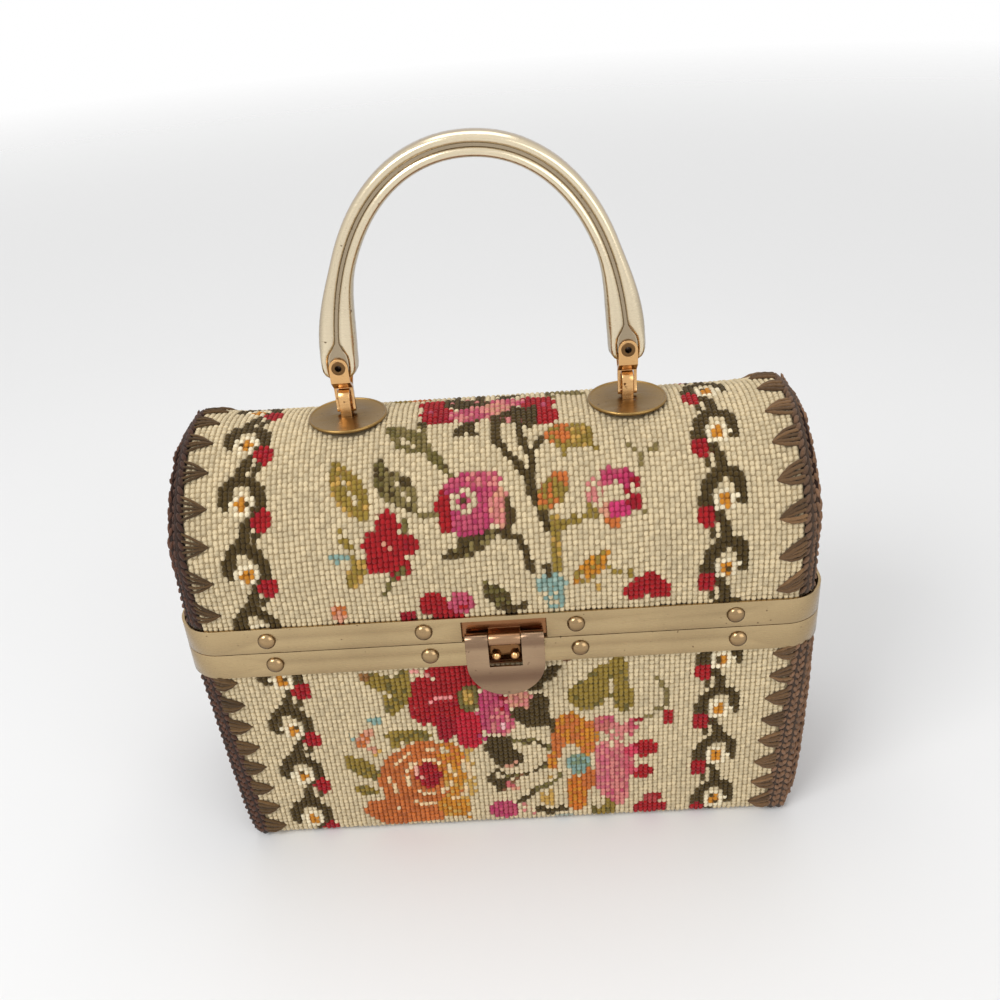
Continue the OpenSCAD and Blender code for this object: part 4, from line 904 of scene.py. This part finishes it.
# The canvas ends this far from the seam, and the middles of the last beads that much further in
seam_gap = 0.2
bead_half_w = 0.7
coloured_wools = ("red", "pink", "gold", "olive", "vine", "blue")


def stitch_grid(count, first, x_limit):
    """Columns over X and rows over a length, a little uneven as hand work is."""
    columns = np.arange(-columns_each_side, columns_each_side + 1) * stitch
    x, s = np.meshgrid(columns, first + np.arange(count) * stitch)
    wave = 0.32 * np.sin(x * 0.21 + s * 0.05) + 0.18 * np.sin(x * 0.9 + 2 * s)
    x, s = x.ravel(), (s + wave).ravel()
    keep = np.abs(x) < x_limit(s) - bead_half_w
    return x[keep], s[keep]


def stitches(name, shape, surface, x, s, colours, body, replaced=(), rise=-0.5):
    """Slanted beads of wool, sunk a little into the surface."""
    n = len(x)
    x = x + chance.uniform(-0.1, 0.1, n)
    s = s + chance.uniform(-0.16, 0.16, n)
    place, out = surface(x, s, rise)
    ahead, _ = surface(x, s + 0.5, rise)
    axes = bead_axes(out, ahead - place, np.radians(chance.uniform(-11, 11, n) - 10))
    sizes = drawn_sizes(n, (0.92, 1.02), (1.14, 1.34), (0.7, 0.95))
    return repeated(name, shape, axes, sizes, place, stitched_wool, body, colours, replaced)


def canvas(name, surface, start, length, x_limit, body, wool):
    """The canvas behind the stitches, in the colours that cover it darkened as painted shade between the beads."""
    rows, across = int(length / stitch) + 1, 114
    # shade darkens the canvas's colours: painted shade in the gaps between the stitches
    depth, thick, shade = 0.75, 0.4, [0.55, 0.52, 0.48, 1]
    s = np.repeat(np.linspace(start, start + length, rows)[:, None], across, axis=1)
    x = np.linspace(-1, 1, across)[None, :] * x_limit(s)
    pts = surface(x.ravel(), s.ravel(), -depth)[0].reshape(rows, across, 3)
    colours = (wool(x.ravel(), s.ravel()) * shade).reshape(rows, across, 4)
    if body == "base":
        pts, colours = pts[::-1], colours[::-1]
    obj = grid_piece(name, pts[:, ::-1], canvas_thread, body, thick=thick, colours=colours[:, ::-1])
    width = 2 * float(np.mean(x_limit(s)))


def lid_limit(s):
    return np.full(np.shape(s), seam_x - seam_gap)


def base_limit(s):
    _, z, _, _ = base_path.at(s)
    return base_seam(z) - seam_gap


def clear_of_plates(x, s):
    place, _ = on_lid(x, s, 0)
    return np.hypot(np.abs(place[:, 0]) - handle_x, place[:, 1]) > plate_clear_r


# The underside's stitches lie between these two lengths along the base
under_from = 88.0
under_to = base_path.length - under_from


def lid_wool(x, s):
    return wool_colours(x, s, lid_pattern, (-x, 2 * lid_mid - s))


def base_wool(x, s):
    """The front, the underside and the back each show their own part of the pattern."""
    front = wool_colours(x, base_tuck_z - s, base_pattern)
    under = wool_colours(x, base_tuck_z - s, under_pattern)
    back = wool_colours(-x, base_tuck_z - (base_path.length - s), base_pattern)
    return np.where((s < under_from)[:, None], front, np.where((s > under_to)[:, None], back, under))


x, s = stitch_grid(int((lid_path.length + 0.6) / stitch), lid_start + 0.3, lid_limit)
keep = clear_of_plates(x, s) & (s > lid_start - 0.2) & (s < lid_end + 0.2)
x, s = x[keep], s[keep]
wool = lid_wool(x, s)
# The finer beads go on a little past the crown
near = s < lid_mid + 4
lid_front = stitches("lid_stitches_front", fine_bead, on_lid, x[near], s[near], wool[near], "lid", ["lid_tapestry"])
lid_back = stitches("lid_stitches_back", plain_bead, on_lid, x[~near], s[~near], wool[~near], "lid")
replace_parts(lid_front, *["lid_wool_" + c for c in coloured_wools])
canvas("lid_canvas", on_lid, lid_start, lid_path.length, lid_limit, "lid", lid_wool)

x, s = stitch_grid(int(base_path.length / stitch), 0.9, base_limit)
keep = s < base_path.length - 0.7
x, s = x[keep], s[keep]
wool = base_wool(x, s)
front, back = s < under_from, s > under_to
under = ~front & ~back
flat_bead = half_ball("stitch_under", 4, 3)
base_front = stitches(
    "base_stitches_front", fine_bead, on_base, x[front], s[front], wool[front], "base", ["base_tapestry"]
)
base_back = stitches("base_stitches_back", plain_bead, on_base, x[back], s[back], wool[back], "base")
base_under = stitches("base_stitches_under", flat_bead, on_base, x[under], s[under], wool[under], "base", rise=-0.93)
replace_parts(base_front, *["base_wool_" + c for c in coloured_wools])
canvas("base_canvas", on_base, 0.0, base_path.length, base_limit, "base", base_wool)


# Crochet ends, rims and fans

long_bead = half_ball("crochet_loop", 8, 4)
# Seen colours of the left and the right side; the left ones are darker as painted shade, since the left end lies in
# shade
crochet_pair = ((88, 58, 44), (128, 96, 72))
# The fans' left colour is likewise darker as painted shade
fan_pair = ((94, 70, 42), (112, 84, 56))
sides = ((-1, "left"), (1, "right"))
# From one row of crochet to the next
row_pitch = 4.45
# The fans' roots lie this far past the edge of the wool
fan_root = 0.6
yarn_sides = 8


def yarn_colours(n, side, shade=1.0, pair=crochet_pair):
    seen = np.array(pair[0] if side < 0 else pair[1]) * shade
    return toned(np.tile(seen, (n, 1)), -0.25, 0.2)


def around_end(start_x, end_x, depth, r):
    """Line in plan around a right end, from the front rim over the two corners to the back rim."""
    corner_x = end_x - r
    a = np.radians(np.linspace(-90, 0, 13))
    corner = np.stack([corner_x + r * np.cos(a), r - depth + r * np.sin(a)], 1)
    dx = max(0.0, start_x - corner_x)
    first = [[start_x, r - depth - math.sqrt(max(0.0, r * r - dx * dx))]]
    half = np.concatenate([first, corner[corner[:, 0] >= start_x - 1e-6]])
    return np.concatenate([half, [[end_x, 0.0]], half[::-1] * [1, -1]])


def along_line(points, places):
    """Places and directions at lengths along a line in plan."""
    s = lengths_along(points)

    def at(lengths):
        return np.stack([np.interp(lengths, s, points[:, i]) for i in (0, 1)], 1)

    return at(places), at(places + 0.2) - at(places - 0.2)


def line_length(points):
    return float(lengths_along(points)[-1])


def fullness(z, side):
    """How far the soft crochet of a base end stands off the board; the right end is the fuller one."""
    if side > 0:
        return float(np.interp(z, [0, 4, 15, 32, 59, 84, 89], [4.6, 5.8, 6.8, 6.3, 4.4, 1.9, 1.2]))
    return float(np.interp(z, [0, 10, 23, 34, 52, 69, 84, 89], [1.0, 2.6, 3.2, 2.9, 2.1, 1.3, 0.6, 0.6]))


def base_end_line(z, inset, side, start=5.2):
    """Plan of a base end at a height; start is how far past the seam the crochet begins."""
    k = float(np.clip(z / base_tuck_z, 0, 1))
    rounding = 1.5 * max(0.0, 1 - z / 5.0) ** 2
    end_x = float(tapered(half_w, foot_half_w, z)) + fullness(z, side) - inset - rounding
    start_x = min(float(base_seam(z)) + start, end_x - 1.0)
    r = 5.0 + (plan_r - 5.0) * k
    return around_end(start_x, end_x, float(wall_y(z)) - inset, max(0.6, r - inset))


def beside_base(x, s, rise):
    """The front corner of a base end, where x counts on past the seam along the cloth."""
    places, outs = [], []
    for far, down in zip(x, s):
        z = base_tuck_z - float(down)
        side = 1 if far > 0 else -1
        p, d = along_line(base_end_line(z, -rise, side, 0.0), np.array([abs(far) - float(base_seam(z))]))
        places.append((side * p[0, 0], p[0, 1], z))
        outs.append((side * d[0, 1], -d[0, 0], 0.0))
    return np.array(places), np.array(outs)


def up_lid(z):
    """Share of the way from the lid's tuck to its top."""
    return (z - lid_tuck_z) / (lid_top_z - lid_tuck_z)


def lid_end_line(z, inset):
    end_x = half_w - (half_w - lid_top_half_w) * float(np.clip(up_lid(z), 0, 1)) - inset
    depth = half_d if z < barrel_z else math.sqrt(max(1.0, half_d**2 - (z - barrel_z) ** 2))
    r = min(plan_r, 2.0 + (plan_r - 2.0) * float(np.clip((barrel_z + 22 - z) / 22, 0, 1)), depth * 0.8)
    return around_end(seam_x + chain_w, end_x, depth - inset, max(0.5, r - inset))


def crochet_end(name, body, line_at, low, high, side):
    """Rows of slanted loops in pairs, laid over a dark backing cloth that is painted shade between the loops."""
    levels = np.arange(low, high, row_pitch)
    loop_pitch, loop_inset, ground_inset = 4.0, 1.6, 1.5
    margin, across = 1.6, 48
    rows = [(z, ground_inset) for z in np.linspace(levels[0] - margin, levels[-1] + margin, 26)]
    if body == "base":
        # The cloth turns in under the foot
        rows = [(1.0, 9.0), (1.0, 5.0), (1.1, 3.0), (1.4, 2.0)] + rows
    shade_backing = []
    for z, inset in rows:
        pts = line_at(z, inset)
        p, _ = along_line(pts, np.linspace(0, line_length(pts), across))
        shade_backing.append(np.column_stack([p, np.full(across, z)]))
    shade_backing = np.array(shade_backing)
    if side < 0:
        shade_backing = shade_backing[:, ::-1] * [-1, 1, 1]
    # The backing's dark colour is painted shade, seen between the loops
    cloth = grid_piece(name + "_ground", shade_backing, crochet_shade_backing, body, thick=0.5)
    places, outs, turns = [], [], []
    for z in levels:
        pts = line_at(z, loop_inset)
        total = line_length(pts)
        count = max(3, int(round(total / loop_pitch)))
        for half in (-1, 1):
            p, d = along_line(pts, (np.arange(count) + 0.5) / count * total + half * total / count * 0.23)
            places.append(np.column_stack([p, np.full(count, z + 0.3 * half)]))
            outs.append(np.column_stack([d[:, 1], -d[:, 0], np.zeros(count)]))
            turns.append(np.full(count, math.radians(-24 * half)))
    places, outs, turns = (np.concatenate(v) for v in (places, outs, turns))
    if side < 0:
        places, outs, turns = places * [-1, 1, 1], outs * [-1, 1, 1], -turns
    n = len(places)
    axes = bead_axes(outs, np.tile([0, 0, 1.0], (n, 1)), turns + chance.uniform(-0.12, 0.12, n))
    sizes = drawn_sizes(n, (0.8, 0.98), (2.3, 2.7), (1.0, 1.25))
    loops = repeated(
        name + "_loops", long_bead, axes, sizes, places, crochet_yarn, body, yarn_colours(n, side), [name]
    )
    lengths = [line_length(line_at(z, 1.3)) for z in np.linspace(levels[0], levels[-1], 9)]


class Yarns:
    """Gathers tubes of yarn and makes them one piece."""

    def __init__(self):
        self.points, self.faces, self.colours, self.count = [], [], [], 0

    def add(self, points, outs, radii, colour, twist=0.0, lobes=0.0):
        """A yarn along a line; its two plies wind round each other where lobes is over 0."""
        n, m = len(points), yarn_sides
        t = rows_of(np.gradient(points, axis=0))
        o = across_to(outs, t)
        b = np.cross(t, o)
        a = np.arange(m) / m * 2 * math.pi
        wind = np.arange(n)[:, None] * twist
        r = radii[:, None] * (1 + lobes * np.cos(2 * (a[None, :] - wind)))
        circle = np.cos(a)[None, :, None] * o[:, None, :] + np.sin(a)[None, :, None] * b[:, None, :]
        ends = [tuple(range(m - 1, -1, -1)), tuple((n - 1) * m + k for k in range(m))]
        self.faces += [tuple(i + self.count for i in face) for face in quads(n, m, True) + ends]
        self.points.append((points[:, None, :] + r[..., None] * circle).reshape(-1, 3))
        self.colours.append(np.tile(colour, (n * m, 1)))
        self.count += n * m

    def piece(self, name, body):
        obj = through(name, np.concatenate(self.points), self.faces, np.concatenate(self.colours))
        reworked(obj, (bpy.ops.mesh.normals_make_consistent, {"inside": False}))
        return settled(obj, name, crochet_yarn, body)


def plait(name, surface, seam_at, past, low, high, body, side, faces=(1,), rise=-0.3, shade=1.0):
    """A rim of plaited loops over a core, some way past the seam."""
    core_r, loop_pitch = 1.5, 3.3
    core = Yarns()
    places, outs, aheads, turns = [], [], [], []
    for face in faces:
        flip = [1, face, 1]
        steps = np.linspace(low, high, max(12, int((high - low) / 2.5)))
        p, o = surface(side * (seam_at(steps) + past), steps, rise - 0.5)
        # The core is half as bright as the loops: painted shade under them
        core.add(p * flip, o * flip, np.full(len(p), core_r), yarn_colours(1, side, 0.5)[0])
        count = int(round((high - low) / loop_pitch))
        s = low + (np.arange(count) + 0.5) * (high - low) / count
        for half in (-1, 1):
            x = side * (seam_at(s) + past + half * 0.95)
            p, o = surface(x, s + half * 0.35, rise)
            q, _ = surface(x, s + half * 0.35 + 0.5, rise)
            places.append(p * flip)
            outs.append(o * flip + np.array([side * half * 0.5, 0, 0]))
            aheads.append(q * flip - p * flip)
            turns.append(np.full(count, math.radians(26 * half * side * face)))
    places, outs, aheads, turns = (np.concatenate(v) for v in (places, outs, aheads, turns))
    n = len(places)
    sizes = drawn_sizes(n, (0.88, 1.05), (2.1, 2.5), (1.2, 1.5))
    axes = bead_axes(outs, aheads, turns + chance.uniform(-0.1, 0.1, n))
    colours = yarn_colours(n, side, shade)
    repeated(name + "_plait", long_bead, axes, sizes, places, crochet_yarn, body, colours)
    core.piece(name + "_core", body)


def fan(yarns, surface, side, tip, root, width, face, thick, bow):
    """Five long stitches that spread from one hole in the cloth to the rim."""
    t = np.linspace(0, 1, 14)
    for k in range(5):
        off = k / 4 - 0.5
        spread_k = off * width + chance.uniform(-0.3, 0.3)
        x = tip[0] + (root[0] - tip[0]) * t + 0.5 * abs(off) * (1 - t)
        s = tip[1] + (root[1] + spread_k - tip[1]) * t + spread_k * bow * np.sin(math.pi * t)
        rise = -0.4 + 1.2 * np.sin(math.pi * (0.08 + 0.78 * t)) + 0.3 * (k % 2)
        p, o = surface(side * x, s, 0.0)
        p = (p + o * rise[:, None]) * [1, face, 1]
        r = thick * (1 + 0.12 * chance.rand()) * (0.6 + 0.4 * np.clip(t * 3, 0, 1))
        shade = chance.uniform(0.78, 1.08)
        yarns.add(p, o * [1, face, 1], r, yarn_colours(1, side, shade, fan_pair)[0], 0.75, 0.12)


def lid_fans(side, word):
    """Thirteen fans from the front band over the top to the back one."""
    yarns = Yarns()
    count, pitch = 13, 13.2
    first = lid_mid - (count - 1) / 2 * pitch
    tip_x, lean_most, width, thick, bow = (100.6, -4.8, 7.0, 0.68, 0.28) if side > 0 else (100.9, -1.6, 8.6, 0.48, 0.08)
    for k in range(count):
        root = first + k * pitch
        tip = root + lean_most * (lid_mid - root) / (lid_mid - first) + chance.uniform(-0.5, 0.5)
        fan(yarns, on_lid, side, (tip_x, tip), (seam_x + fan_root, root), width, 1, thick, bow)
    return yarns.piece("lid_fans_" + word, "lid")


def base_fans(side, word):
    """Eight fans up each of the front and back walls."""
    yarns = Yarns()
    count, pitch, top, reach, width = 8, 11.35, 7.0, 8.5, 6.8
    for face in (1, -1):
        for k in range(count):
            root = base_tuck_z - top - k * pitch
            root_x = float(base_limit(root)) + fan_root
            tip = root + 0.6 + chance.uniform(-0.5, 0.5)
            fan(yarns, on_base, side, (root_x - reach, tip), (root_x, root), width, face, 0.62, 0.25)
    return yarns.piece("base_fans_" + word, "base")


def on_lid_edge(x, run, rise):
    """The lid past the seam, where the soft edge falls away towards the end."""
    place, _ = on_lid(x, run, 0.0)
    top = np.clip((place[..., 2] - barrel_z) / 36.0, 0, 1)
    return on_lid(x, run, rise - top * np.clip(np.abs(x) - seam_x - 1.0, 0, None) * 1.05)


def lid_seam_at(run):
    return np.full(np.shape(run), seam_x)


def base_seam_at(s):
    return base_seam(base_tuck_z - s)


rim_from, rim_to = lid_start + 0.6, lid_end - 0.6

for side, word in sides:
    crochet_end("base_end_" + word, "base", lambda z, i: base_end_line(z, i, side), 2.8, base_tuck_z - 1.0, side)
    crochet_end("lid_end_" + word, "lid", lid_end_line, lid_tuck_z + 2.4, lid_top_z - 3.0, side)
    plait("lid_rim_" + word, on_lid_edge, lid_seam_at, 2.0, rim_from, rim_to, "lid", side, shade=0.8)
    plait("lid_edge_roll_" + word, on_lid_edge, lid_seam_at, 4.4, rim_from, rim_to, "lid", side, rise=-0.8)
    for label, past in (("base_rim_", 1.7), ("base_edge_roll_", 5.1)):
        plait(label + word, beside_base, base_seam_at, past, 0.2, 86.6, "base", side, (1, -1), shade=0.95)
    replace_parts(lid_fans(side, word), "lid_edge_" + word)
    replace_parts(base_fans(side, word), "base_edge_" + word)

for shape in (fine_bead, plain_bead, flat_bead, long_bead):
    bpy.data.objects.remove(shape)


# Linings

# Corner radius of the lid's cup, and how far its ends lean in up to the crown
cup_r = 9.3
cup_lean = 3.2
# The cup of the base: its corner radius at the foot and its clearance and height there
foot_cup_r = 4.5
foot_wall = 4.4
floor_z = 4.7


def rounded_ring(half_x, half_y, r, z):
    """Even points round a rectangle with rounded corners."""
    count = 96
    r = max(0.3, min(r, half_x - 0.2, half_y - 0.2))
    pts = []
    for cx, cy, a0 in ((1, 1, 0), (-1, 1, 90), (-1, -1, 180), (1, -1, 270)):
        for a in np.radians(np.linspace(a0, a0 + 90, 7)):
            pts.append((cx * (half_x - r) + r * math.cos(a), cy * (half_y - r) + r * math.sin(a)))
    pts = np.array(pts + pts[:1])
    p, _ = along_line(pts, np.linspace(0, line_length(pts), count + 1)[:-1])
    return np.column_stack([p, np.full(count, z)])


def lining(name, body, rings):
    """A cloth cup through rings, drawn a little uneven."""
    pts = np.array(rings)
    x, y, z = np.moveaxis(pts, -1, 0)
    wave = 0.22 * np.sin(x * 0.35 + z * 0.2) + 0.18 * np.sin(y * 0.5 - z * 0.33)
    inward = -pts * [1, 1, 0]
    inward = inward / np.maximum(1.0, np.linalg.norm(inward, axis=2, keepdims=True))
    pts = pts + inward * (0.35 + wave)[..., None]
    area = 0.0
    for low, high in zip(pts, pts[1:]):
        area += float(np.linalg.norm(np.cross(np.roll(low, -1, axis=0) - low, high - low), axis=1).sum())
    obj = grid_piece(name, pts, cotton, body, [name], closed=True, thick=0.5)


def base_cup():
    rings = []
    for z in np.linspace(98.6, 8.0, 26):
        k = min(1.0, z / base_tuck_z)
        half_x = float(tapered(half_w, foot_half_w, z)) - wall
        rings.append(rounded_ring(half_x, float(wall_y(z)) - wall, foot_cup_r + (cup_r - foot_cup_r) * k, z))
    end_x, depth = foot_half_w - foot_wall, foot_half_d - foot_wall
    turned = [(0.8, 6.2), (2.0, 5.2), (4.0, 4.8)]
    for inset, z in turned + [(inset, floor_z) for inset in (10, 20, 30, depth - 0.6)]:
        rings.append(rounded_ring(end_x - inset, depth - inset, 4.0, z))
    return rings[::-1]


def lid_cup():
    r_in = half_d - wall
    rows = [(z, 1.0) for z in np.linspace(101.4, barrel_z, 8)[:-1]]
    rows += [(barrel_z + r_in * math.sin(a), math.cos(a)) for a in np.radians(np.linspace(0, 89.2, 34))]
    rings = [rounded_ring(half_w - cup_lean * max(0, up_lid(z)) - wall, r_in * c, cup_r * c, z) for z, c in rows]
    # The two sides meet along the crown
    return rings + [rings[-1] * [1, 0.02, 1]]


lining("base_lining", "base", base_cup())
lining("lid_lining", "lid", lid_cup())


# Metal


def dressed(node, material, body, bevel, painted_shade):
    """The solid's own form with its edges softened, as rolled and plated metal has them, darkened where a share of
    painted shade is given.
    """
    angle = math.radians(35)
    obj = linked(node + "_metal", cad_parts[node].data.copy())
    reworked(
        obj,
        (bpy.ops.mesh.remove_doubles, {"threshold": 0.000002}),
        (bpy.ops.mesh.dissolve_limited, {"angle_limit": math.radians(1.0)}),
    )
    b = obj.modifiers.new("soft edges", "BEVEL")
    b.width = bevel * mm
    b.segments = 2
    b.limit_method = "ANGLE"
    b.angle_limit = angle
    bpy.ops.object.modifier_apply(modifier="soft edges")
    bpy.ops.object.shade_smooth_by_angle(angle=angle)
    # A share of painted light for each point, where one is given
    if painted_shade:
        place = np.empty(len(obj.data.vertices) * 3)
        obj.data.vertices.foreach_get("co", place)
        share = np.clip(painted_shade(*place.reshape(-1, 3).T / mm), 0, 1)
        coloured(obj.data, "painted_shade_share", np.repeat(share[:, None], 4, axis=1))
    return settled(obj, node + "_metal", material, body, [node])


def behind(share):
    """Painted shade: dark where the metal lies deeper than its foremost part, as in a recess."""
    return lambda x, y, z: np.clip((y - y.min() - 1.0) / 0.8, 0, 1) * share


def around_loop(x, y, z):
    """Painted light: dulled over the middle of a round plate, so that its rim shows as a painted highlight."""
    return 0.35 - 0.35 * np.clip((np.hypot(np.abs(x) - handle_x, y) - 12.6) / 1.0, 0, 1)


for node, material, body, bevel, painted_shade in (
    ("base_frame", gilt_band, "base", 0.3, None),
    ("lid_frame", gilt_band, "lid", 0.3, None),
    ("hinge_leaves_base", gilt_band, "base", 0.15, None),
    ("hinge_leaves_lid", gilt_band, "lid", 0.15, None),
    ("catch_plate", warm_gold, "base", 0.12, behind(0.85)),
    ("clasp_bracket", gilt_bracket, "lid", 0.15, behind(0.6)),
    ("clasp_flap", gilt_flap, "clasp_flap", 0.25, None),
):
    dressed(node, material, body, bevel, painted_shade)

for node, material, body, bevel, painted_shade in (
    ("handle_disc_", olive_brass, "lid", 0.1, around_loop),
    ("handle_loop_", warm_gold, "lid", 0.25, None),
    ("handle_bracket_", warm_gold, "handle", 0.2, None),
    ("handle_rivet_", hollow_rivet, "handle", 0.1, None),
):
    for _, word in sides:
        dressed(node + word, material, body, bevel, painted_shade)


rivet_places_x = (-86.2, -28.0, 28.0, 86.2)
rivet_seat_y = 49.0
rivet_r = 3.3
rivet_rise = 2.0


def rivets(name, node, z, shift, body):
    """Low domed heads, modelled once and copied along the front and the back of a band."""
    head = half_ball(name + "_shape", 24, 16, 0.0)
    places, axes = [], []
    for x in rivet_places_x:
        for face in (-1, 1):
            places.append((x + shift, face * rivet_seat_y, z))
            axes.append([[1, 0, 0], [0, 0, -face], [0, face, 0]])
    sizes = np.tile([rivet_r, rivet_r, rivet_rise], (len(places), 1))
    axes, places = np.array(axes, float), np.array(places)
    repeated(name, head, axes, sizes, places, rivet_brass, body, None, [node])
    bpy.data.objects.remove(head)


rivets("base_rivet_heads", "base_rivets", 94.45, 1.3, "base")
rivets("lid_rivet_heads", "lid_rivets", 105.55, 0.0, "lid")


def handle():
    """The cast arch: two ridges with a groove between them, swelling to the feet."""
    crown_z, foot_z, reach, lift = 267.65, 187.5, 29.0, 53.0
    half_ridge, half_groove, half_strap = 4.4, 0.65, 3.8
    rivet_z, rivet_hole_r = 193.1, 1.7
    # Where the feet begin to round off
    tip = 0.965

    def smooth(t):
        t = min(1.0, max(0.0, t))
        return t * t * (3 - 2 * t)

    def centre(t):
        a, b, c, d = (1 - t) ** 3, 3 * (1 - t) ** 2 * t, 3 * (1 - t) * t * t, t**3
        return np.array([b * reach + (c + d) * handle_x, (a + b) * crown_z + c * (foot_z + lift) + d * foot_z])

    def ring_at(v):
        t, side = abs(v), (-1 if v < 0 else 1)
        c = centre(t)
        d = centre(min(1, t + 0.005)) - centre(max(0, t - 0.005))
        d /= np.hypot(*d)
        swell = smooth((t - 0.68) / 0.24)
        opened = smooth((t - 0.9) / 0.045)
        end = 1.0 if t < tip else math.sqrt(max(0.12, 1 - ((t - tip) / (1 - tip)) ** 2))
        # Half the width and the height of the section, half the groove, and its floor
        a = (half_ridge + 2.4 * swell) * end
        b = (half_ridge + 0.6 * swell) * (0.3 + 0.7 * end)
        g = (half_groove + (half_strap - half_groove) * opened) * end
        low = b - 1.4 + 0.3 * opened
        m, w = (a + g) / 2, (a - g) / 2
        right = [
            (a, 0), (a * 0.985, b * 0.34), (a * 0.92, b * 0.64), (m + w * 0.45, b * 0.9), (m, b),
            (m - w * 0.45, b * 0.98), (g + w * 0.14, b * 0.86), (g * 0.95, b * 0.76), (g * 0.8, low),
        ]
        half = right + [(-p, q) for p, q in reversed(right[1:])]
        section = half + [(-p, -q) for p, q in half]
        return [(side * c[0] - side * d[1] * p, -q, c[1] + d[0] * p) for p, q in section]

    steps = 48
    places = [(-1 if k < 0 else 1) * (1 - (1 - abs(k) / steps) ** 1.3) for k in range(-steps, steps + 1)]
    pts = np.array([ring_at(v) for v in places])
    # Share of painted shade at the points of the section, most in the groove, where shade falls
    right = [0.1, 0.1, 0, 0, 0, 0, 0.1, 0.3, 0.6]
    painted_shade = (right + right[:0:-1]) * 2
    dark = np.tile(np.array(painted_shade)[None, :, None], (len(pts), 1, 4))
    obj = grid_piece(
        "handle_arch_cast", pts, champagne, "handle", ["handle_arch"], True, 0.0, dark, "painted_shade_share"
    )
    reworked(
        obj,
        (bpy.ops.mesh.select_all, {"action": "DESELECT"}),
        (bpy.ops.mesh.select_non_manifold, {}),
        (bpy.ops.mesh.fill_holes, {"sides": 0}),
        (bpy.ops.mesh.select_all, {"action": "SELECT"}),
        (bpy.ops.mesh.normals_make_consistent, {"inside": False}),
    )
    for side, _ in sides:
        nothing_selected()
        bpy.ops.mesh.primitive_cylinder_add(
            vertices=24, radius=rivet_hole_r * mm, depth=20 * mm, location=(side * handle_x * mm, 0, rivet_z * mm),
            rotation=(math.pi / 2, 0, 0),
        )
        drill = bpy.context.object
        pick(obj)
        cut = obj.modifiers.new("rivet hole", "BOOLEAN")
        cut.operation = "DIFFERENCE"
        cut.solver = "EXACT"
        cut.object = drill
        bpy.ops.object.modifier_apply(modifier="rivet hole")
        bpy.data.objects.remove(drill)
    pick(obj)
    bpy.ops.object.shade_smooth_by_angle(angle=math.radians(50))


handle()

for node, material in (
    ("base_shell", plain_board),
    ("lid_shell", plain_board),
    ("hinge_pins", rivet_brass),
    ("clasp_pin", rivet_brass),
    ("loop_washer_left", olive_brass),
    ("loop_washer_right", olive_brass),
):
    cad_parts[node].data.materials.clear()
    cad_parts[node].data.materials.append(material)


# Floor, light and camera


def floor():
    """A pale floor that fades away far from the bag."""
    nothing_selected()
    bpy.ops.mesh.primitive_plane_add(size=6.0, location=(0, 0, 0))
    plane = bpy.context.object
    plane.name = "floor"
    m, tree, bsdf = shader_of("pale floor")
    bsdf.inputs["Base Color"].default_value = (0.82, 0.82, 0.82, 1)
    bsdf.inputs["Roughness"].default_value = 0.7
    reach = tree.nodes.new("ShaderNodeVectorMath")
    reach.operation = "LENGTH"
    put(tree, own_place(tree), reach.inputs[0])
    fade = tree.nodes.new("ShaderNodeMixShader")
    put(tree, spread(tree, reach.outputs["Value"], 0.6, 2.2), fade.inputs["Fac"])
    put(tree, bsdf.outputs["BSDF"], fade.inputs[1])
    put(tree, tree.nodes.new("ShaderNodeBsdfTransparent").outputs["BSDF"], fade.inputs[2])
    put(tree, fade.outputs["Shader"], tree.nodes["Material Output"].inputs["Surface"])
    plane.data.materials.append(m)


def studio():
    """A white room, dimmer where it only lights, and three lamps."""
    world = bpy.data.worlds.new("studio")
    bpy.context.scene.world = world
    world.use_nodes = True
    tree = world.node_tree
    back = tree.nodes["Background"]
    path = tree.nodes.new("ShaderNodeLightPath").outputs
    seen = path["Is Camera Ray"]
    for ray in ("Is Glossy Ray", "Is Transmission Ray"):
        seen = maths(tree, "MAXIMUM", seen, path[ray])
    put(tree, spread(tree, seen, 0, 1, 0.55, 1.0), back.inputs["Strength"])
    back.inputs["Color"].default_value = (1, 1, 1, 1)
    aim = Vector((0, 0, 0.1))
    for name, place, size, power in (
        ("window", (-0.9, -0.9, 1.3), 0.8, 14),
        ("room", (0.9, -1.0, 0.7), 1.0, 5),
        ("ceiling", (0.0, 0.4, 1.5), 1.0, 6),
    ):
        light = bpy.data.lights.new(name, "AREA")
        light.size = size
        light.energy = power
        obj = linked(name, light)
        obj.location = place
        obj.rotation_euler = (aim - Vector(place)).to_track_quat("-Z", "Y").to_euler()


def camera():
    """The photo's camera: its turns in radians, its place in metres and its lens in millimetres."""
    yaw, pitch, roll = -0.034, 0.531, 0.078
    place = Vector((0.01418, -0.35498, 0.33967))
    forward = Vector((math.sin(yaw) * math.cos(pitch), math.cos(yaw) * math.cos(pitch), -math.sin(pitch)))
    right = Vector((math.cos(yaw), -math.sin(yaw), 0))
    down = forward.cross(right)
    right_r = math.cos(roll) * right + math.sin(roll) * down
    down_r = -math.sin(roll) * right + math.cos(roll) * down
    data = bpy.data.cameras.new("camera")
    data.lens = 37.6
    data.sensor_width = 36
    data.clip_start = 0.01
    cam = linked("camera", data)
    m = Matrix((right_r, -down_r, -forward)).transposed().to_4x4()
    m.translation = place
    cam.matrix_world = m
    bpy.context.scene.camera = cam


floor()
studio()
camera()
bpy.context.scene.view_settings.view_transform = "Standard"
